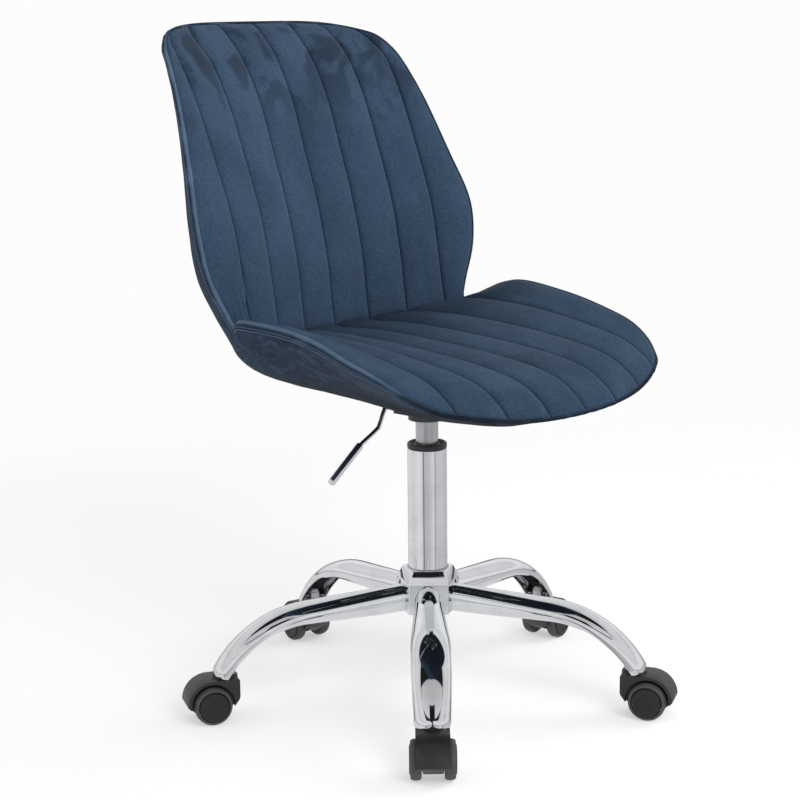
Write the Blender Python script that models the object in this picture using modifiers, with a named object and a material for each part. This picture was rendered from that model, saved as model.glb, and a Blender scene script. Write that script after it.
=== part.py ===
"""Swivel office chair: velvet bucket seat on a gas lift and a five-leg castor base.

Blender 4.5, metres, +Z up, floor at z = 0. The sitter faces -Y and the sitter's left is +X.
Everything is modelled round the lift's axis and parented to one empty, which puts the middle
of the chair's footprint at the origin.
"""
import bpy
import bmesh
from collections import namedtuple
from math import cos, pi, radians, sin
from mathutils import Matrix, Vector

GAP = 0.0003                      # clearance between touching pieces
COLUMN_AT = (-0.0162, -0.0082)    # lift axis, seen from the middle of the footprint
SEGMENTS = 24                     # sides of a round piece
WHEEL_SEGMENTS = 20
SMALL_SEGMENTS = 12

# base
LEG_COUNT = 5
FIRST_LEG_ANGLE = radians(-138)
PIVOT_RADIUS = 0.2600             # lift axis to castor swivel
HUB_BOTTOM, HUB_SHOULDER, HUB_TOP = 0.112, 0.151, 0.166
HUB_FLAT_RADIUS = 0.0335          # axis to each of the five flats
HUB_TOP_SCALE = 0.79
LEG_ROOT_RIDGE = 0.1445
LEG_SLOPE = radians(4.5)
LEG_STRAIGHT_TO = 0.158           # radius where the ridge starts to curve down
LEG_BEND_RADIUS = 0.150
LEG_END_SLOPE = radians(60.5)
LEG_END_HEIGHT = 0.059
LEG_WALL = 0.0020
SOCKET_BORE, SOCKET_RADIUS, SOCKET_FLANGE = 0.0058, 0.0070, 0.0105
SOCKET_TOP = 0.0700

# castors
WHEEL_RADIUS = 0.0235
AXLE_HEIGHT = WHEEL_RADIUS * cos(pi / WHEEL_SEGMENTS)   # a tread's flat lies on the floor
WHEEL_TRAIL = 0.0221              # swivel axis to axle
WHEEL_INNER, WHEEL_OUTER = 0.0125, 0.0272
DISC_RADIUS = 0.0188
AXLE_RADIUS, AXLE_HALF = 0.0030, 0.0210
STEM_RADIUS, STEM_FOOT, STEM_TOP = 0.0054, 0.0330, 0.0725
HOOD_RADIUS, HOOD_WELL_RADIUS = 0.0307, 0.0268
HOOD_HALF_WIDTH, HOOD_WEB_HALF = 0.0195, 0.0118
HOOD_TOP = 0.0540
HOOD_FACE = -0.0115               # flat face towards the hub, from the swivel axis
TREAD_FLAT_HALF = 0.0040

# gas lift
TUBE_RADIUS, TUBE_BORE = 0.0245, 0.0230
TUBE_BOTTOM, TUBE_TOP = 0.1060, 0.3180
TUBE_FLOOR = 0.0040
BUSH_TOP, BUSH_SLEEVE = 0.3250, 0.2500
CYLINDER_RADIUS, CYLINDER_BORE = 0.0140, 0.0120
CYLINDER_BOTTOM, CYLINDER_TOP = 0.1680, 0.3690
ROD_RADIUS, ROD_HEAD_RADIUS, ROD_TOP = 0.0050, 0.0113, 0.2800
BEARING_BOTTOM, BEARING_TOP = TUBE_BOTTOM + TUBE_FLOOR + GAP, 0.1170
PIN_RADIUS, PIN_TOP = 0.0035, 0.3761

# mechanism and lever
PLATE_HALF_X, PLATE_HALF_Y = 0.0450, 0.0750
PLATE_BOTTOM, PLATE_TOP = 0.3820, 0.3845
HOUSING_HALF_X, HOUSING_HALF_Y, HOUSING_BOTTOM = 0.0300, 0.0280, 0.3620
HOUSING_WALL = 0.0030
SLOT_HALF, SLOT_BOTTOM = 0.0060, 0.3720
ABOVE = 0.4000                    # clear of the mechanism, for cutters
BOSS_RADIUS, BOSS_BOTTOM, BOSS_TOP = 0.0230, 0.3540, 0.3680
LEVER_PIVOT = (-0.0450, 0.0, 0.3795)
LEVER_RADIUS, GRIP_RADIUS = 0.0030, 0.0050
LEVER_PATH = ((-0.0040, 0.3795), (-0.0700, 0.3795), (-0.0810, 0.3740),
              (-0.0890, 0.3600), (-0.0960, 0.3535), (-0.1200, 0.3420), (-0.1240, 0.3390))
GRIP_PATH = ((-0.1200, 0.3420), (-0.1730, 0.3040))
GRIP_SOCKET = 0.0080              # how deep the rod goes into the grip

# Stations along the bucket, from the front edge over the crease to the top edge. Each one
# holds the upholstered face on the centre line, the rim at one side, the centre line of the
# outer cover, how the face climbs from centre to rim (power, and bulge for a flatter rim),
# and the power by which the cover swells between its centre line and the rim.
Station = namedtuple("Station", "face_y face_z rim_x rim_y rim_z under_y under_z power bulge swell")
STATIONS = (
    Station(-0.243, 0.396, 0.207, -0.196, 0.422, -0.240, 0.389, 2.4, 0.0, 3.3),
    Station(-0.228, 0.412, 0.229, -0.166, 0.441, -0.226, 0.387, 2.4, 0.0, 3.3),
    Station(-0.200, 0.429, 0.239, -0.134, 0.458, -0.195, 0.386, 2.3, 0.0, 3.3),
    Station(-0.155, 0.440, 0.241, -0.098, 0.470, -0.150, 0.386, 2.3, 0.0, 3.3),
    Station(-0.095, 0.447, 0.237, -0.055, 0.483, -0.092, 0.387, 2.3, 0.0, 3.3),
    Station(-0.030, 0.452, 0.234, -0.010, 0.492, -0.030, 0.388, 2.3, 0.0, 3.3),
    Station(0.035, 0.455, 0.236, 0.034, 0.497, 0.035, 0.389, 2.3, 0.0, 3.4),
    Station(0.090, 0.455, 0.237, 0.069, 0.496, 0.095, 0.392, 2.3, 0.2, 3.6),
    Station(0.130, 0.453, 0.228, 0.096, 0.484, 0.150, 0.405, 2.2, 0.5, 4.2),
    Station(0.153, 0.455, 0.208, 0.112, 0.472, 0.190, 0.437, 2.1, 0.8, 5.0),
    Station(0.159, 0.490, 0.214, 0.119, 0.494, 0.206, 0.480, 2.0, 1.2, 6.5),
    Station(0.165, 0.540, 0.237, 0.125, 0.542, 0.208, 0.532, 2.0, 1.5, 7.5),
    Station(0.181, 0.610, 0.243, 0.135, 0.597, 0.221, 0.604, 2.0, 1.5, 6.5),
    Station(0.201, 0.672, 0.230, 0.160, 0.660, 0.240, 0.668, 2.1, 1.2, 5.5),
    Station(0.222, 0.737, 0.215, 0.191, 0.732, 0.261, 0.732, 2.6, 0.6, 4.8),
    Station(0.250, 0.790, 0.203, 0.220, 0.783, 0.283, 0.784, 3.4, 0.2, 4.5),
    Station(0.276, 0.820, 0.195, 0.237, 0.803, 0.300, 0.814, 4.2, 0.0, 4.5),
    Station(0.292, 0.832, 0.184, 0.249, 0.815, 0.304, 0.828, 4.5, 0.0, 4.5),
)
CREASE = 9                        # the station where seat and back meet
RIM_THICKNESS = 0.0105
CHANNEL = 0.059                   # spacing of the sewn channels
PAD_SHARE, SHELL_SHARE = 0.46, 0.68   # parts of the depth where the pads and the shell end
SHELL_INSET = 0.40                # of the outermost cells of its net
CREASE_TRIM = 0.03
LAYER_GAP = 0.0019                # glue line between the layers

Finish = namedtuple("Finish", "colour roughness metallic")
FINISHES = {
    "velvet": Finish((0.045, 0.085, 0.150), 0.85, 0.0),
    "chrome": Finish((0.86, 0.87, 0.88), 0.07, 1.0),
    "satin_steel": Finish((0.62, 0.63, 0.64), 0.30, 1.0),
    "zinc_steel": Finish((0.55, 0.56, 0.57), 0.38, 1.0),
    "black_plastic": Finish((0.018, 0.018, 0.019), 0.45, 0.0),
    "grey_tread": Finish((0.075, 0.076, 0.078), 0.60, 0.0),
    "black_steel": Finish((0.022, 0.022, 0.023), 0.50, 0.6),
    "plywood": Finish((0.45, 0.31, 0.18), 0.65, 0.0),
}


def clear_scene():
    for old in list(bpy.data.objects):
        bpy.data.objects.remove(old, do_unlink=True)


def new_collection(name):
    group = bpy.data.collections.new(name)
    bpy.context.scene.collection.children.link(group)
    return group


def finish_material(name):
    finish = FINISHES[name]
    material = bpy.data.materials.get(name) or bpy.data.materials.new(name)
    material.use_nodes = True
    shader = material.node_tree.nodes["Principled BSDF"]
    shader.inputs["Base Color"].default_value = (*finish.colour, 1.0)
    shader.inputs["Roughness"].default_value = finish.roughness
    shader.inputs["Metallic"].default_value = finish.metallic
    material.diffuse_color = (*finish.colour, 1.0)
    return material


clear_scene()
CHAIR = new_collection("swivel_office_chair")
CUTTERS = new_collection("cutters")
ROOT = bpy.data.objects.new("chair_frame", None)
ROOT.location = (*COLUMN_AT, 0.0)
CHAIR.objects.link(ROOT)


def place(obj, finish, location=(0, 0, 0), rotation=(0, 0, 0), parent=ROOT):
    """Put a new piece in the chair's collection, under its parent, with its material."""
    CHAIR.objects.link(obj)
    obj.parent = parent
    obj.location = location
    obj.rotation_euler = rotation
    obj.data.materials.append(finish_material(finish))
    if obj.type == "MESH" and obj.data.polygons:
        obj.data.shade_smooth()
        obj.data.set_sharp_from_angle(angle=radians(35))
    return obj


def empty(name, location, angle=0.0, parent=ROOT):
    holder = bpy.data.objects.new(name, None)
    holder.location = location
    holder.rotation_euler = (0, 0, angle)
    holder.parent = parent
    CHAIR.objects.link(holder)
    return holder


def object_from(name, bm):
    mesh = bpy.data.meshes.new(name)
    bm.to_mesh(mesh)
    bm.free()
    return bpy.data.objects.new(name, mesh)


def turned(name, profile, finish, closed=False, segments=SEGMENTS, **where):
    """Screw a profile of (radius, height) points round Z; a closed profile makes a ring."""
    bm = bmesh.new()
    points = [bm.verts.new((radius, 0, height)) for radius, height in profile]
    for start, end in zip(points, points[1:]):
        bm.edges.new((start, end))
    if closed:
        bm.edges.new((points[-1], points[0]))
    obj = place(object_from(name, bm), finish, **where)
    screw = obj.modifiers.new("turn", "SCREW")
    screw.steps = screw.render_steps = segments
    screw.use_merge_vertices = True
    screw.merge_threshold = 0.00001
    screw.use_smooth_shade = True
    return obj


def cutter(name, bm, parent=ROOT, location=(0, 0, 0), rotation=(0, 0, 0)):
    tool = object_from(name, bm)
    CUTTERS.objects.link(tool)
    tool.parent = parent
    tool.location = location
    tool.rotation_euler = rotation
    tool.hide_render = True
    tool.display_type = "WIRE"
    return tool


def boolean(obj, tool, operation="DIFFERENCE"):
    step = obj.modifiers.new(tool.name, "BOOLEAN")
    step.object = tool
    step.operation = operation
    step.solver = "EXACT"


def cylinder_mesh(radius, low, high, segments=SEGMENTS, axis="Z"):
    bm = bmesh.new()
    matrix = Matrix.Translation((0, 0, (low + high) / 2))
    if axis == "Y":
        matrix = Matrix.Rotation(radians(-90), 4, "X") @ matrix
    bmesh.ops.create_cone(bm, cap_ends=True, segments=segments, radius1=radius, radius2=radius,
                          depth=high - low, matrix=matrix)
    return bm


def box_mesh(low, high):
    bm = bmesh.new()
    size = Vector(high) - Vector(low)
    middle = (Vector(high) + Vector(low)) / 2
    bmesh.ops.create_cube(bm, size=1, matrix=Matrix.Translation(middle) @ Matrix.Diagonal((*size, 1)))
    return bm


def rod(name, path, radius, finish, **where):
    """A round bar along points in the XZ plane."""
    curve = bpy.data.curves.new(name, "CURVE")
    curve.dimensions = "3D"
    curve.bevel_depth = radius
    curve.bevel_resolution = 2
    curve.use_fill_caps = True
    spline = curve.splines.new("POLY")
    spline.points.add(len(path) - 1)
    for point, (x, z) in zip(spline.points, path):
        point.co = (x, 0, z, 1)
    return place(bpy.data.objects.new(name, curve), finish, **where)


# --- base ---------------------------------------------------------------------------------

def leg_angle(number):
    return FIRST_LEG_ANGLE + number * 2 * pi / LEG_COUNT


def build_hub():
    corner = HUB_FLAT_RADIUS / cos(pi / LEG_COUNT)
    bm = bmesh.new()
    turn = Matrix.Rotation(leg_angle(0) + pi / LEG_COUNT - pi / 2, 4, "Z")
    height = HUB_SHOULDER - HUB_BOTTOM
    bmesh.ops.create_cone(bm, cap_ends=True, segments=LEG_COUNT, radius1=corner, radius2=corner,
                          depth=height, matrix=Matrix.Translation((0, 0, HUB_BOTTOM + height / 2)) @ turn)
    top = [face for face in bm.faces if face.normal.z > 0.9]
    raised = bmesh.ops.extrude_face_region(bm, geom=top)["geom"]
    bmesh.ops.delete(bm, geom=top, context="FACES_ONLY")
    verts = [item for item in raised if isinstance(item, bmesh.types.BMVert)]
    for vert in verts:
        vert.co = (vert.co.x * HUB_TOP_SCALE, vert.co.y * HUB_TOP_SCALE, HUB_TOP)
    bmesh.ops.recalc_face_normals(bm, faces=bm.faces)
    hub = place(object_from("base_hub", bm), "chrome")
    edge = hub.modifiers.new("soft edges", "BEVEL")
    edge.width = 0.0020
    edge.segments = 2
    boolean(hub, cutter("hub_bore", cylinder_mesh(TUBE_RADIUS + GAP, 0.10, 0.18, segments=32)))


def leg_ridge(steps_straight=3, steps_bend=5):
    """Ridge line of a leg as (radius, height, slope), from the hub to the castor."""
    start = HUB_FLAT_RADIUS + GAP
    line = []
    for step in range(steps_straight):
        radius = start + (LEG_STRAIGHT_TO - start) * step / steps_straight
        line.append((radius, LEG_ROOT_RIDGE - (radius - start) * sin(LEG_SLOPE) / cos(LEG_SLOPE), LEG_SLOPE))
    height = LEG_ROOT_RIDGE - (LEG_STRAIGHT_TO - start) * sin(LEG_SLOPE) / cos(LEG_SLOPE)
    for step in range(steps_bend + 1):
        slope = LEG_SLOPE + (LEG_END_SLOPE - LEG_SLOPE) * step / steps_bend
        line.append((LEG_STRAIGHT_TO + LEG_BEND_RADIUS * (sin(slope) - sin(LEG_SLOPE)),
                     height - LEG_BEND_RADIUS * (cos(LEG_SLOPE) - cos(slope)), slope))
    radius, height, slope = line[-1]
    drop = height - LEG_END_HEIGHT
    line.append((radius + drop * cos(slope) / sin(slope), LEG_END_HEIGHT, slope))
    return line


def blend(low, high, amount):
    return low + (high - low) * min(max(amount, 0.0), 1.0)


def leg_section(share):
    """Width, depth and how far the lower edges curl in, at a share of the leg's length."""
    width = blend(0.0315, 0.0430, share / 0.40) - blend(0, 0.0055, (share - 0.60) / 0.40)
    depth = blend(0.0300, 0.0145, share / 0.55)
    curl = blend(0.86, 0.0, (share - 0.12) / 0.40)
    return width, depth, curl


def build_leg(number):
    """A pressed channel: nearly a closed oval at the hub, open underneath at the castor."""
    ridge = leg_ridge()
    bm = bmesh.new()
    rings = []
    for index, (radius, height, slope) in enumerate(ridge):
        share = index / (len(ridge) - 1)
        width, depth, curl = leg_section(share)
        lean = 0.0 if index == 0 else slope + blend(0, pi / 2 - LEG_END_SLOPE, (share - 0.7) / 0.3)
        down = Vector((-sin(lean), 0, -cos(lean)))
        crown = depth / 2
        ring = []
        for side in range(-5, 6):
            sign = 1 if side > 0 else -1
            step = abs(side)
            if step <= 3:
                angle = step / 3 * pi / 2
                across, below = sin(angle), crown * (1 - cos(angle))
            else:
                angle = (step - 3) / 2 * pi / 2
                across, below = 1 - curl * (1 - cos(angle)), crown + (depth - crown) * sin(angle)
            point = Vector((radius, sign * across * width / 2, height)) + down * below
            ring.append(bm.verts.new(point))
        rings.append(ring)
    for ring, following in zip(rings, rings[1:]):
        for near in range(len(ring) - 1):
            bm.faces.new((ring[near], following[near], following[near + 1], ring[near + 1]))
    leg = place(object_from(f"leg_{number + 1}", bm), "chrome", rotation=(0, 0, leg_angle(number)))
    wall = leg.modifiers.new("wall", "SOLIDIFY")
    wall.thickness = LEG_WALL
    wall.offset = -1


def build_socket(number):
    """The steel sleeve welded into the leg's end, with its flange."""
    low = LEG_END_HEIGHT + 0.0008
    profile = ((SOCKET_BORE, SOCKET_TOP), (SOCKET_RADIUS, SOCKET_TOP), (SOCKET_RADIUS, low + 0.002),
               (SOCKET_FLANGE, low + 0.002), (SOCKET_FLANGE, low), (SOCKET_BORE, low))
    angle = leg_angle(number)
    turned(f"castor_socket_{number + 1}", profile, "zinc_steel", closed=True, segments=SMALL_SEGMENTS,
           location=(PIVOT_RADIUS * cos(angle), PIVOT_RADIUS * sin(angle), 0))


# --- castors ------------------------------------------------------------------------------

def hood_outline():
    """Side view of a hood in (trail, height): arc over the wheels, flat face to the hub."""
    start, end, steps = radians(1), radians(92), 8
    arc = [(WHEEL_TRAIL + HOOD_RADIUS * cos(start + (end - start) * step / steps),
            WHEEL_RADIUS + HOOD_RADIUS * sin(start + (end - start) * step / steps))
           for step in range(steps + 1)]
    return arc + [(HOOD_FACE + 0.002, HOOD_TOP), (HOOD_FACE, HOOD_TOP - 0.002), (HOOD_FACE, 0.0295),
                  (-0.0030, 0.0180), (WHEEL_TRAIL - 0.016, 0.0130), (WHEEL_TRAIL + 0.020, 0.0130)]


def build_hood(number, holder):
    bm = bmesh.new()
    near = [bm.verts.new((trail, -HOOD_HALF_WIDTH, height)) for trail, height in hood_outline()]
    face = bm.faces.new(near)
    grown = bmesh.ops.extrude_face_region(bm, geom=[face])["geom"]
    shift = Vector((0, 2 * HOOD_HALF_WIDTH, 0))
    bmesh.ops.translate(bm, vec=shift, verts=[item for item in grown if isinstance(item, bmesh.types.BMVert)])
    bmesh.ops.recalc_face_normals(bm, faces=bm.faces)
    hood = place(object_from(f"castor_hood_{number + 1}", bm), "black_plastic", parent=holder)
    tools = (
        ("well_left", cylinder_mesh(HOOD_WELL_RADIUS, HOOD_WEB_HALF, 0.03, WHEEL_SEGMENTS, "Y"), (WHEEL_TRAIL, 0, AXLE_HEIGHT)),
        ("well_right", cylinder_mesh(HOOD_WELL_RADIUS, -0.03, -HOOD_WEB_HALF, WHEEL_SEGMENTS, "Y"),
         (WHEEL_TRAIL, 0, AXLE_HEIGHT)),
        ("stem_hole", cylinder_mesh(STEM_RADIUS + GAP, STEM_FOOT - GAP, 0.07, SMALL_SEGMENTS), (0, 0, 0)),
        ("axle_hole", cylinder_mesh(AXLE_RADIUS + GAP, -0.02, 0.02, SMALL_SEGMENTS, "Y"),
         (WHEEL_TRAIL, 0, AXLE_HEIGHT)),
    )
    for name, mesh, location in tools:
        boolean(hood, cutter(f"{name}_{number + 1}", mesh, holder, location))


def build_castor(number):
    angle = leg_angle(number)
    at = (PIVOT_RADIUS * cos(angle), PIVOT_RADIUS * sin(angle), 0)
    holder = empty(f"castor_{number + 1}_swivel", at, angle)
    axle_at = (WHEEL_TRAIL, 0, AXLE_HEIGHT)
    build_hood(number, holder)
    stem = ((0, STEM_TOP), (STEM_RADIUS - 0.001, STEM_TOP), (STEM_RADIUS, STEM_TOP - 0.0015),
            (STEM_RADIUS, HOOD_TOP + 0.0030), (0.0095, HOOD_TOP + 0.0030), (0.0095, HOOD_TOP + GAP),
            (STEM_RADIUS, HOOD_TOP + GAP), (STEM_RADIUS, STEM_FOOT), (0, STEM_FOOT))
    turned(f"castor_stem_{number + 1}", stem, "zinc_steel", segments=SMALL_SEGMENTS, parent=holder)
    axle = ((0, AXLE_HALF), (AXLE_RADIUS, AXLE_HALF), (AXLE_RADIUS, -AXLE_HALF), (0, -AXLE_HALF))
    turned(f"castor_axle_{number + 1}", axle, "zinc_steel", segments=SMALL_SEGMENTS, parent=holder,
           location=axle_at, rotation=(radians(-90), 0, 0))
    bore = AXLE_RADIUS + GAP
    dome = WHEEL_OUTER - 0.0022
    core = ((0, WHEEL_OUTER), (DISC_RADIUS - 0.006, WHEEL_OUTER - 0.0006), (DISC_RADIUS, dome),
            (DISC_RADIUS, WHEEL_INNER), (bore, WHEEL_INNER), (bore, AXLE_HALF + 0.0006), (0, AXLE_HALF + 0.0006))
    inner = DISC_RADIUS + GAP
    middle = (WHEEL_INNER + dome) / 2
    tread = ((inner, dome), (WHEEL_RADIUS - 0.002, dome), (WHEEL_RADIUS, middle + TREAD_FLAT_HALF),
             (WHEEL_RADIUS, middle - TREAD_FLAT_HALF), (WHEEL_RADIUS - 0.002, WHEEL_INNER + 0.0004),
             (inner, WHEEL_INNER + 0.0004))
    half_side = pi / WHEEL_SEGMENTS
    for side, turn in (("left", -90), ("right", 90)):
        hub = empty(f"wheel_{number + 1}_{side}_axis", axle_at, parent=holder)
        hub.rotation_euler = (radians(turn), 0, 0)
        turned(f"wheel_core_{number + 1}_{side}", core, "black_plastic", segments=WHEEL_SEGMENTS, parent=hub,
               rotation=(0, 0, half_side))
        turned(f"wheel_tread_{number + 1}_{side}", tread, "grey_tread", closed=True, segments=WHEEL_SEGMENTS,
               parent=hub, rotation=(0, 0, half_side))


# --- gas lift -----------------------------------------------------------------------------

def build_lift():
    floor = TUBE_BOTTOM + TUBE_FLOOR
    hole = ROD_RADIUS + GAP
    turned("outer_tube", ((TUBE_BORE, TUBE_TOP), (TUBE_RADIUS, TUBE_TOP), (TUBE_RADIUS, TUBE_BOTTOM),
                          (hole, TUBE_BOTTOM), (hole, floor), (TUBE_BORE, floor)), "chrome", closed=True)
    slide = CYLINDER_RADIUS + GAP
    turned("guide_bush", ((slide, BUSH_TOP - 0.002), (TUBE_RADIUS - 0.004, BUSH_TOP - 0.002),
                          (TUBE_RADIUS - 0.003, BUSH_TOP), (TUBE_RADIUS - 0.0004, BUSH_TOP),
                          (TUBE_RADIUS - 0.0004, TUBE_TOP + GAP), (TUBE_BORE - GAP, TUBE_TOP + GAP),
                          (TUBE_BORE - GAP, BUSH_SLEEVE), (slide, BUSH_SLEEVE)), "black_plastic", closed=True)
    pin_hole = PIN_RADIUS + GAP
    roof = CYLINDER_TOP - 0.006
    turned("gas_cylinder", ((pin_hole, CYLINDER_TOP), (CYLINDER_RADIUS - 0.001, CYLINDER_TOP),
                            (CYLINDER_RADIUS, CYLINDER_TOP - 0.001), (CYLINDER_RADIUS, CYLINDER_BOTTOM),
                            (hole, CYLINDER_BOTTOM), (hole, CYLINDER_BOTTOM + 0.005),
                            (CYLINDER_BORE, CYLINDER_BOTTOM + 0.005), (CYLINDER_BORE, roof),
                            (pin_hole, roof)), "satin_steel", closed=True)
    turned("piston_rod", ((0, ROD_TOP), (ROD_HEAD_RADIUS, ROD_TOP), (ROD_HEAD_RADIUS, ROD_TOP - 0.014),
                          (ROD_RADIUS, ROD_TOP - 0.014), (ROD_RADIUS, BEARING_TOP + 0.0055),
                          (0.0090, BEARING_TOP + 0.0055), (0.0090, BEARING_TOP + GAP),
                          (ROD_RADIUS, BEARING_TOP + GAP), (ROD_RADIUS, TUBE_BOTTOM - 0.006),
                          (0, TUBE_BOTTOM - 0.006)), "satin_steel", segments=SMALL_SEGMENTS)
    turned("thrust_bearing", ((hole, BEARING_TOP), (0.0115, BEARING_TOP), (0.0115, BEARING_BOTTOM),
                              (hole, BEARING_BOTTOM)), "zinc_steel", closed=True, segments=SMALL_SEGMENTS)
    clip_top = TUBE_BOTTOM - GAP
    turned("retaining_clip", ((hole, clip_top), (0.0095, clip_top), (0.0095, clip_top - 0.0018),
                              (hole, clip_top - 0.0018)), "zinc_steel", closed=True, segments=SMALL_SEGMENTS)
    turned("release_pin", ((0, PIN_TOP), (PIN_RADIUS, PIN_TOP), (PIN_RADIUS, roof - 0.006),
                           (0, roof - 0.006)), "satin_steel", segments=SMALL_SEGMENTS)


# --- mechanism ----------------------------------------------------------------------------

def build_mechanism():
    """Screw-on plate with a housing below it, and the taper boss that takes the gas cylinder."""
    plate = place(object_from("seat_mechanism", box_mesh((-PLATE_HALF_X, -PLATE_HALF_Y, PLATE_BOTTOM),
                                                         (PLATE_HALF_X, PLATE_HALF_Y, PLATE_TOP))), "black_steel")
    housing = cutter("housing", box_mesh((-HOUSING_HALF_X, -HOUSING_HALF_Y, HOUSING_BOTTOM),
                                         (HOUSING_HALF_X, HOUSING_HALF_Y, PLATE_TOP)))
    boss = cutter("boss", cylinder_mesh(BOSS_RADIUS, BOSS_BOTTOM, BOSS_TOP))
    inner_x, inner_y = HOUSING_HALF_X - HOUSING_WALL, HOUSING_HALF_Y - HOUSING_WALL
    inside = cutter("housing_inside", box_mesh((-inner_x, -inner_y, HOUSING_BOTTOM + HOUSING_WALL),
                                               (inner_x, inner_y, ABOVE)))
    slot = cutter("lever_slot", box_mesh((-2 * PLATE_HALF_X, -SLOT_HALF, SLOT_BOTTOM), (-inner_x + 0.001, SLOT_HALF, ABOVE)))
    bore = cutter("boss_bore", cylinder_mesh(CYLINDER_RADIUS + GAP, BOSS_BOTTOM - 0.01, PLATE_BOTTOM))
    boolean(plate, housing, "UNION")
    boolean(plate, inside)
    boolean(plate, boss, "UNION")
    boolean(plate, slot)
    boolean(plate, bore)


def build_lever():
    x, y, z = LEVER_PIVOT
    holder = empty("lever_pivot", LEVER_PIVOT)
    rod("lever_rod", [(px - x, pz - z) for px, pz in LEVER_PATH], LEVER_RADIUS, "chrome", parent=holder)
    start, end = (Vector((px, 0, pz)) for px, pz in GRIP_PATH)
    length = (end - start).length
    bore = LEVER_RADIUS + GAP
    profile = ((0, -GRIP_SOCKET), (bore, -GRIP_SOCKET), (bore, 0), (GRIP_RADIUS, 0),
               (GRIP_RADIUS, -length + 0.003), (GRIP_RADIUS - 0.0018, -length + 0.0006), (0, -length))
    turn = Vector((0, 0, -1)).rotation_difference(end - start).to_euler()
    turned("lever_grip", profile, "chrome", closed=False, segments=SMALL_SEGMENTS, parent=holder,
           location=start - Vector(LEVER_PIVOT), rotation=turn)


# --- upholstery ---------------------------------------------------------------------------

def along(values, at, corner=None):
    """Catmull-Rom reading of a list at a fractional index, with an optional sharp corner."""
    last = len(values) - 1
    index = min(int(at), last - 1)
    share = at - index
    second, third = values[index], values[index + 1]
    first = values[index - 1] if index > 0 and index != corner else 2 * second - third
    fourth = values[index + 2] if index + 2 <= last and index + 1 != corner else 2 * third - second
    return 0.5 * (2 * second + (third - first) * share
                  + (2 * first - 5 * second + 4 * third - fourth) * share ** 2
                  + (3 * second - first - 3 * third + fourth) * share ** 3)


def bucket_row(at):
    """The face's centre, the rim, the cover's centre and the climb, at a station number."""
    def read(name, corner=None):
        return along([getattr(station, name) for station in STATIONS], at, corner)
    return Station(read("face_y", CREASE), read("face_z", CREASE), *(
        read(name) for name in ("rim_x", "rim_y", "rim_z", "under_y", "under_z", "power", "bulge", "swell")))


def across(row):
    """Distances from the centre line, in one half row: the seams, then out to the rim."""
    outer = 3 * CHANNEL
    return (0.0, CHANNEL, 2 * CHANNEL, min(outer, row.rim_x * 0.88), 0.0, row.rim_x)


def half_row(row):
    spots = list(across(row))
    spots[4] = (spots[3] + row.rim_x) / 2
    return spots


def face_point(row, x):
    ratio = abs(x) / row.rim_x
    climb = ratio ** row.power * (1 + row.bulge * (1 - ratio))
    return Vector((x, row.face_y + climb * (row.rim_y - row.face_y),
                   row.face_z + climb * (row.rim_z - row.face_z)))


def cover_point(row, x):
    """The outer cover: a flat middle that turns up steeply to the rim."""
    ratio = abs(x) / row.rim_x
    climb = ratio ** row.swell
    depth = Vector((0, row.under_y - row.face_y, row.under_z - row.face_z)).normalized() * RIM_THICKNESS
    return Vector((x, row.under_y + climb * (row.rim_y + depth.y - row.under_y),
                   row.under_z + climb * (row.rim_z + depth.z - row.under_z)))


def layer_sheet(first, last, edge):
    """Points of one face of a layer, row by row, at a share of the bucket's depth."""
    sheet = []
    for step in range((last - first) * 2 + 1):
        row = bucket_row(first + step / 2)
        half = half_row(row)
        line = []
        for x in [-spot for spot in half[:0:-1]] + half:
            near, far = face_point(row, x), cover_point(row, x)
            line.append(near.lerp(far, edge.share + edge.offset / (far - near).length))
        sheet.append(line)
    return sheet


def draw_in(sheet, start, end, side):
    """Pull the border of a sheet in by shares of its outermost cells."""
    sheet[0] = [here.lerp(there, start) for here, there in zip(sheet[0], sheet[1])]
    sheet[-1] = [here.lerp(there, end) for here, there in zip(sheet[-1], sheet[-2])]
    for line in sheet:
        line[0], line[-1] = line[0].lerp(line[1], side), line[-1].lerp(line[-2], side)


def ring_of(sheet):
    """The border of a sheet, once round."""
    return (sheet[0] + [line[-1] for line in sheet[1:-1]] + sheet[-1][::-1]
            + [line[0] for line in sheet[-2:0:-1]])


def build_layer(name, finish, first, last, edges, start=0.0, end=0.0, side=0.0):
    """A closed layer of the bucket between two shares of its depth, from row to row."""
    bm = bmesh.new()
    sheets = []
    for edge in edges:
        sheet = layer_sheet(first, last, edge)
        draw_in(sheet, start, end, side)
        sheets.append([[bm.verts.new(point) for point in line] for line in sheet])
    front, rear = sheets
    for sheet in sheets:
        for line, following in zip(sheet, sheet[1:]):
            for near in range(len(line) - 1):
                low, high = line[near], following[near + 1]
                beside, above = line[near + 1], following[near]
                bm.faces.new((low, beside, high, above) if sheet is front else (low, above, high, beside))
    border, back = ring_of(front), ring_of(rear)
    for index, vert in enumerate(border):
        after = (index + 1) % len(border)
        bm.faces.new((border[after], vert, back[index], back[after]))
    bmesh.ops.triangulate(bm, faces=bm.faces, quad_method="FIXED")
    bmesh.ops.recalc_face_normals(bm, faces=bm.faces)
    place(object_from(name, bm), finish)


Edge = namedtuple("Edge", "share offset")


def build_bucket():
    last = len(STATIONS) - 1
    pad = (Edge(0.0, 0.0), Edge(PAD_SHARE, 0.0))
    shell = (Edge(PAD_SHARE, LAYER_GAP), Edge(SHELL_SHARE, 0.0))
    cover = (Edge(SHELL_SHARE, LAYER_GAP), Edge(1.0, 0.0))
    build_layer("seat_pad", "velvet", 0, CREASE, pad, end=CREASE_TRIM)
    build_layer("back_pad", "velvet", CREASE, last, pad, start=CREASE_TRIM)
    build_layer("seat_shell", "plywood", 0, last, shell, SHELL_INSET, SHELL_INSET, SHELL_INSET)
    build_layer("outer_cover", "velvet", 0, last, cover)


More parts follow.
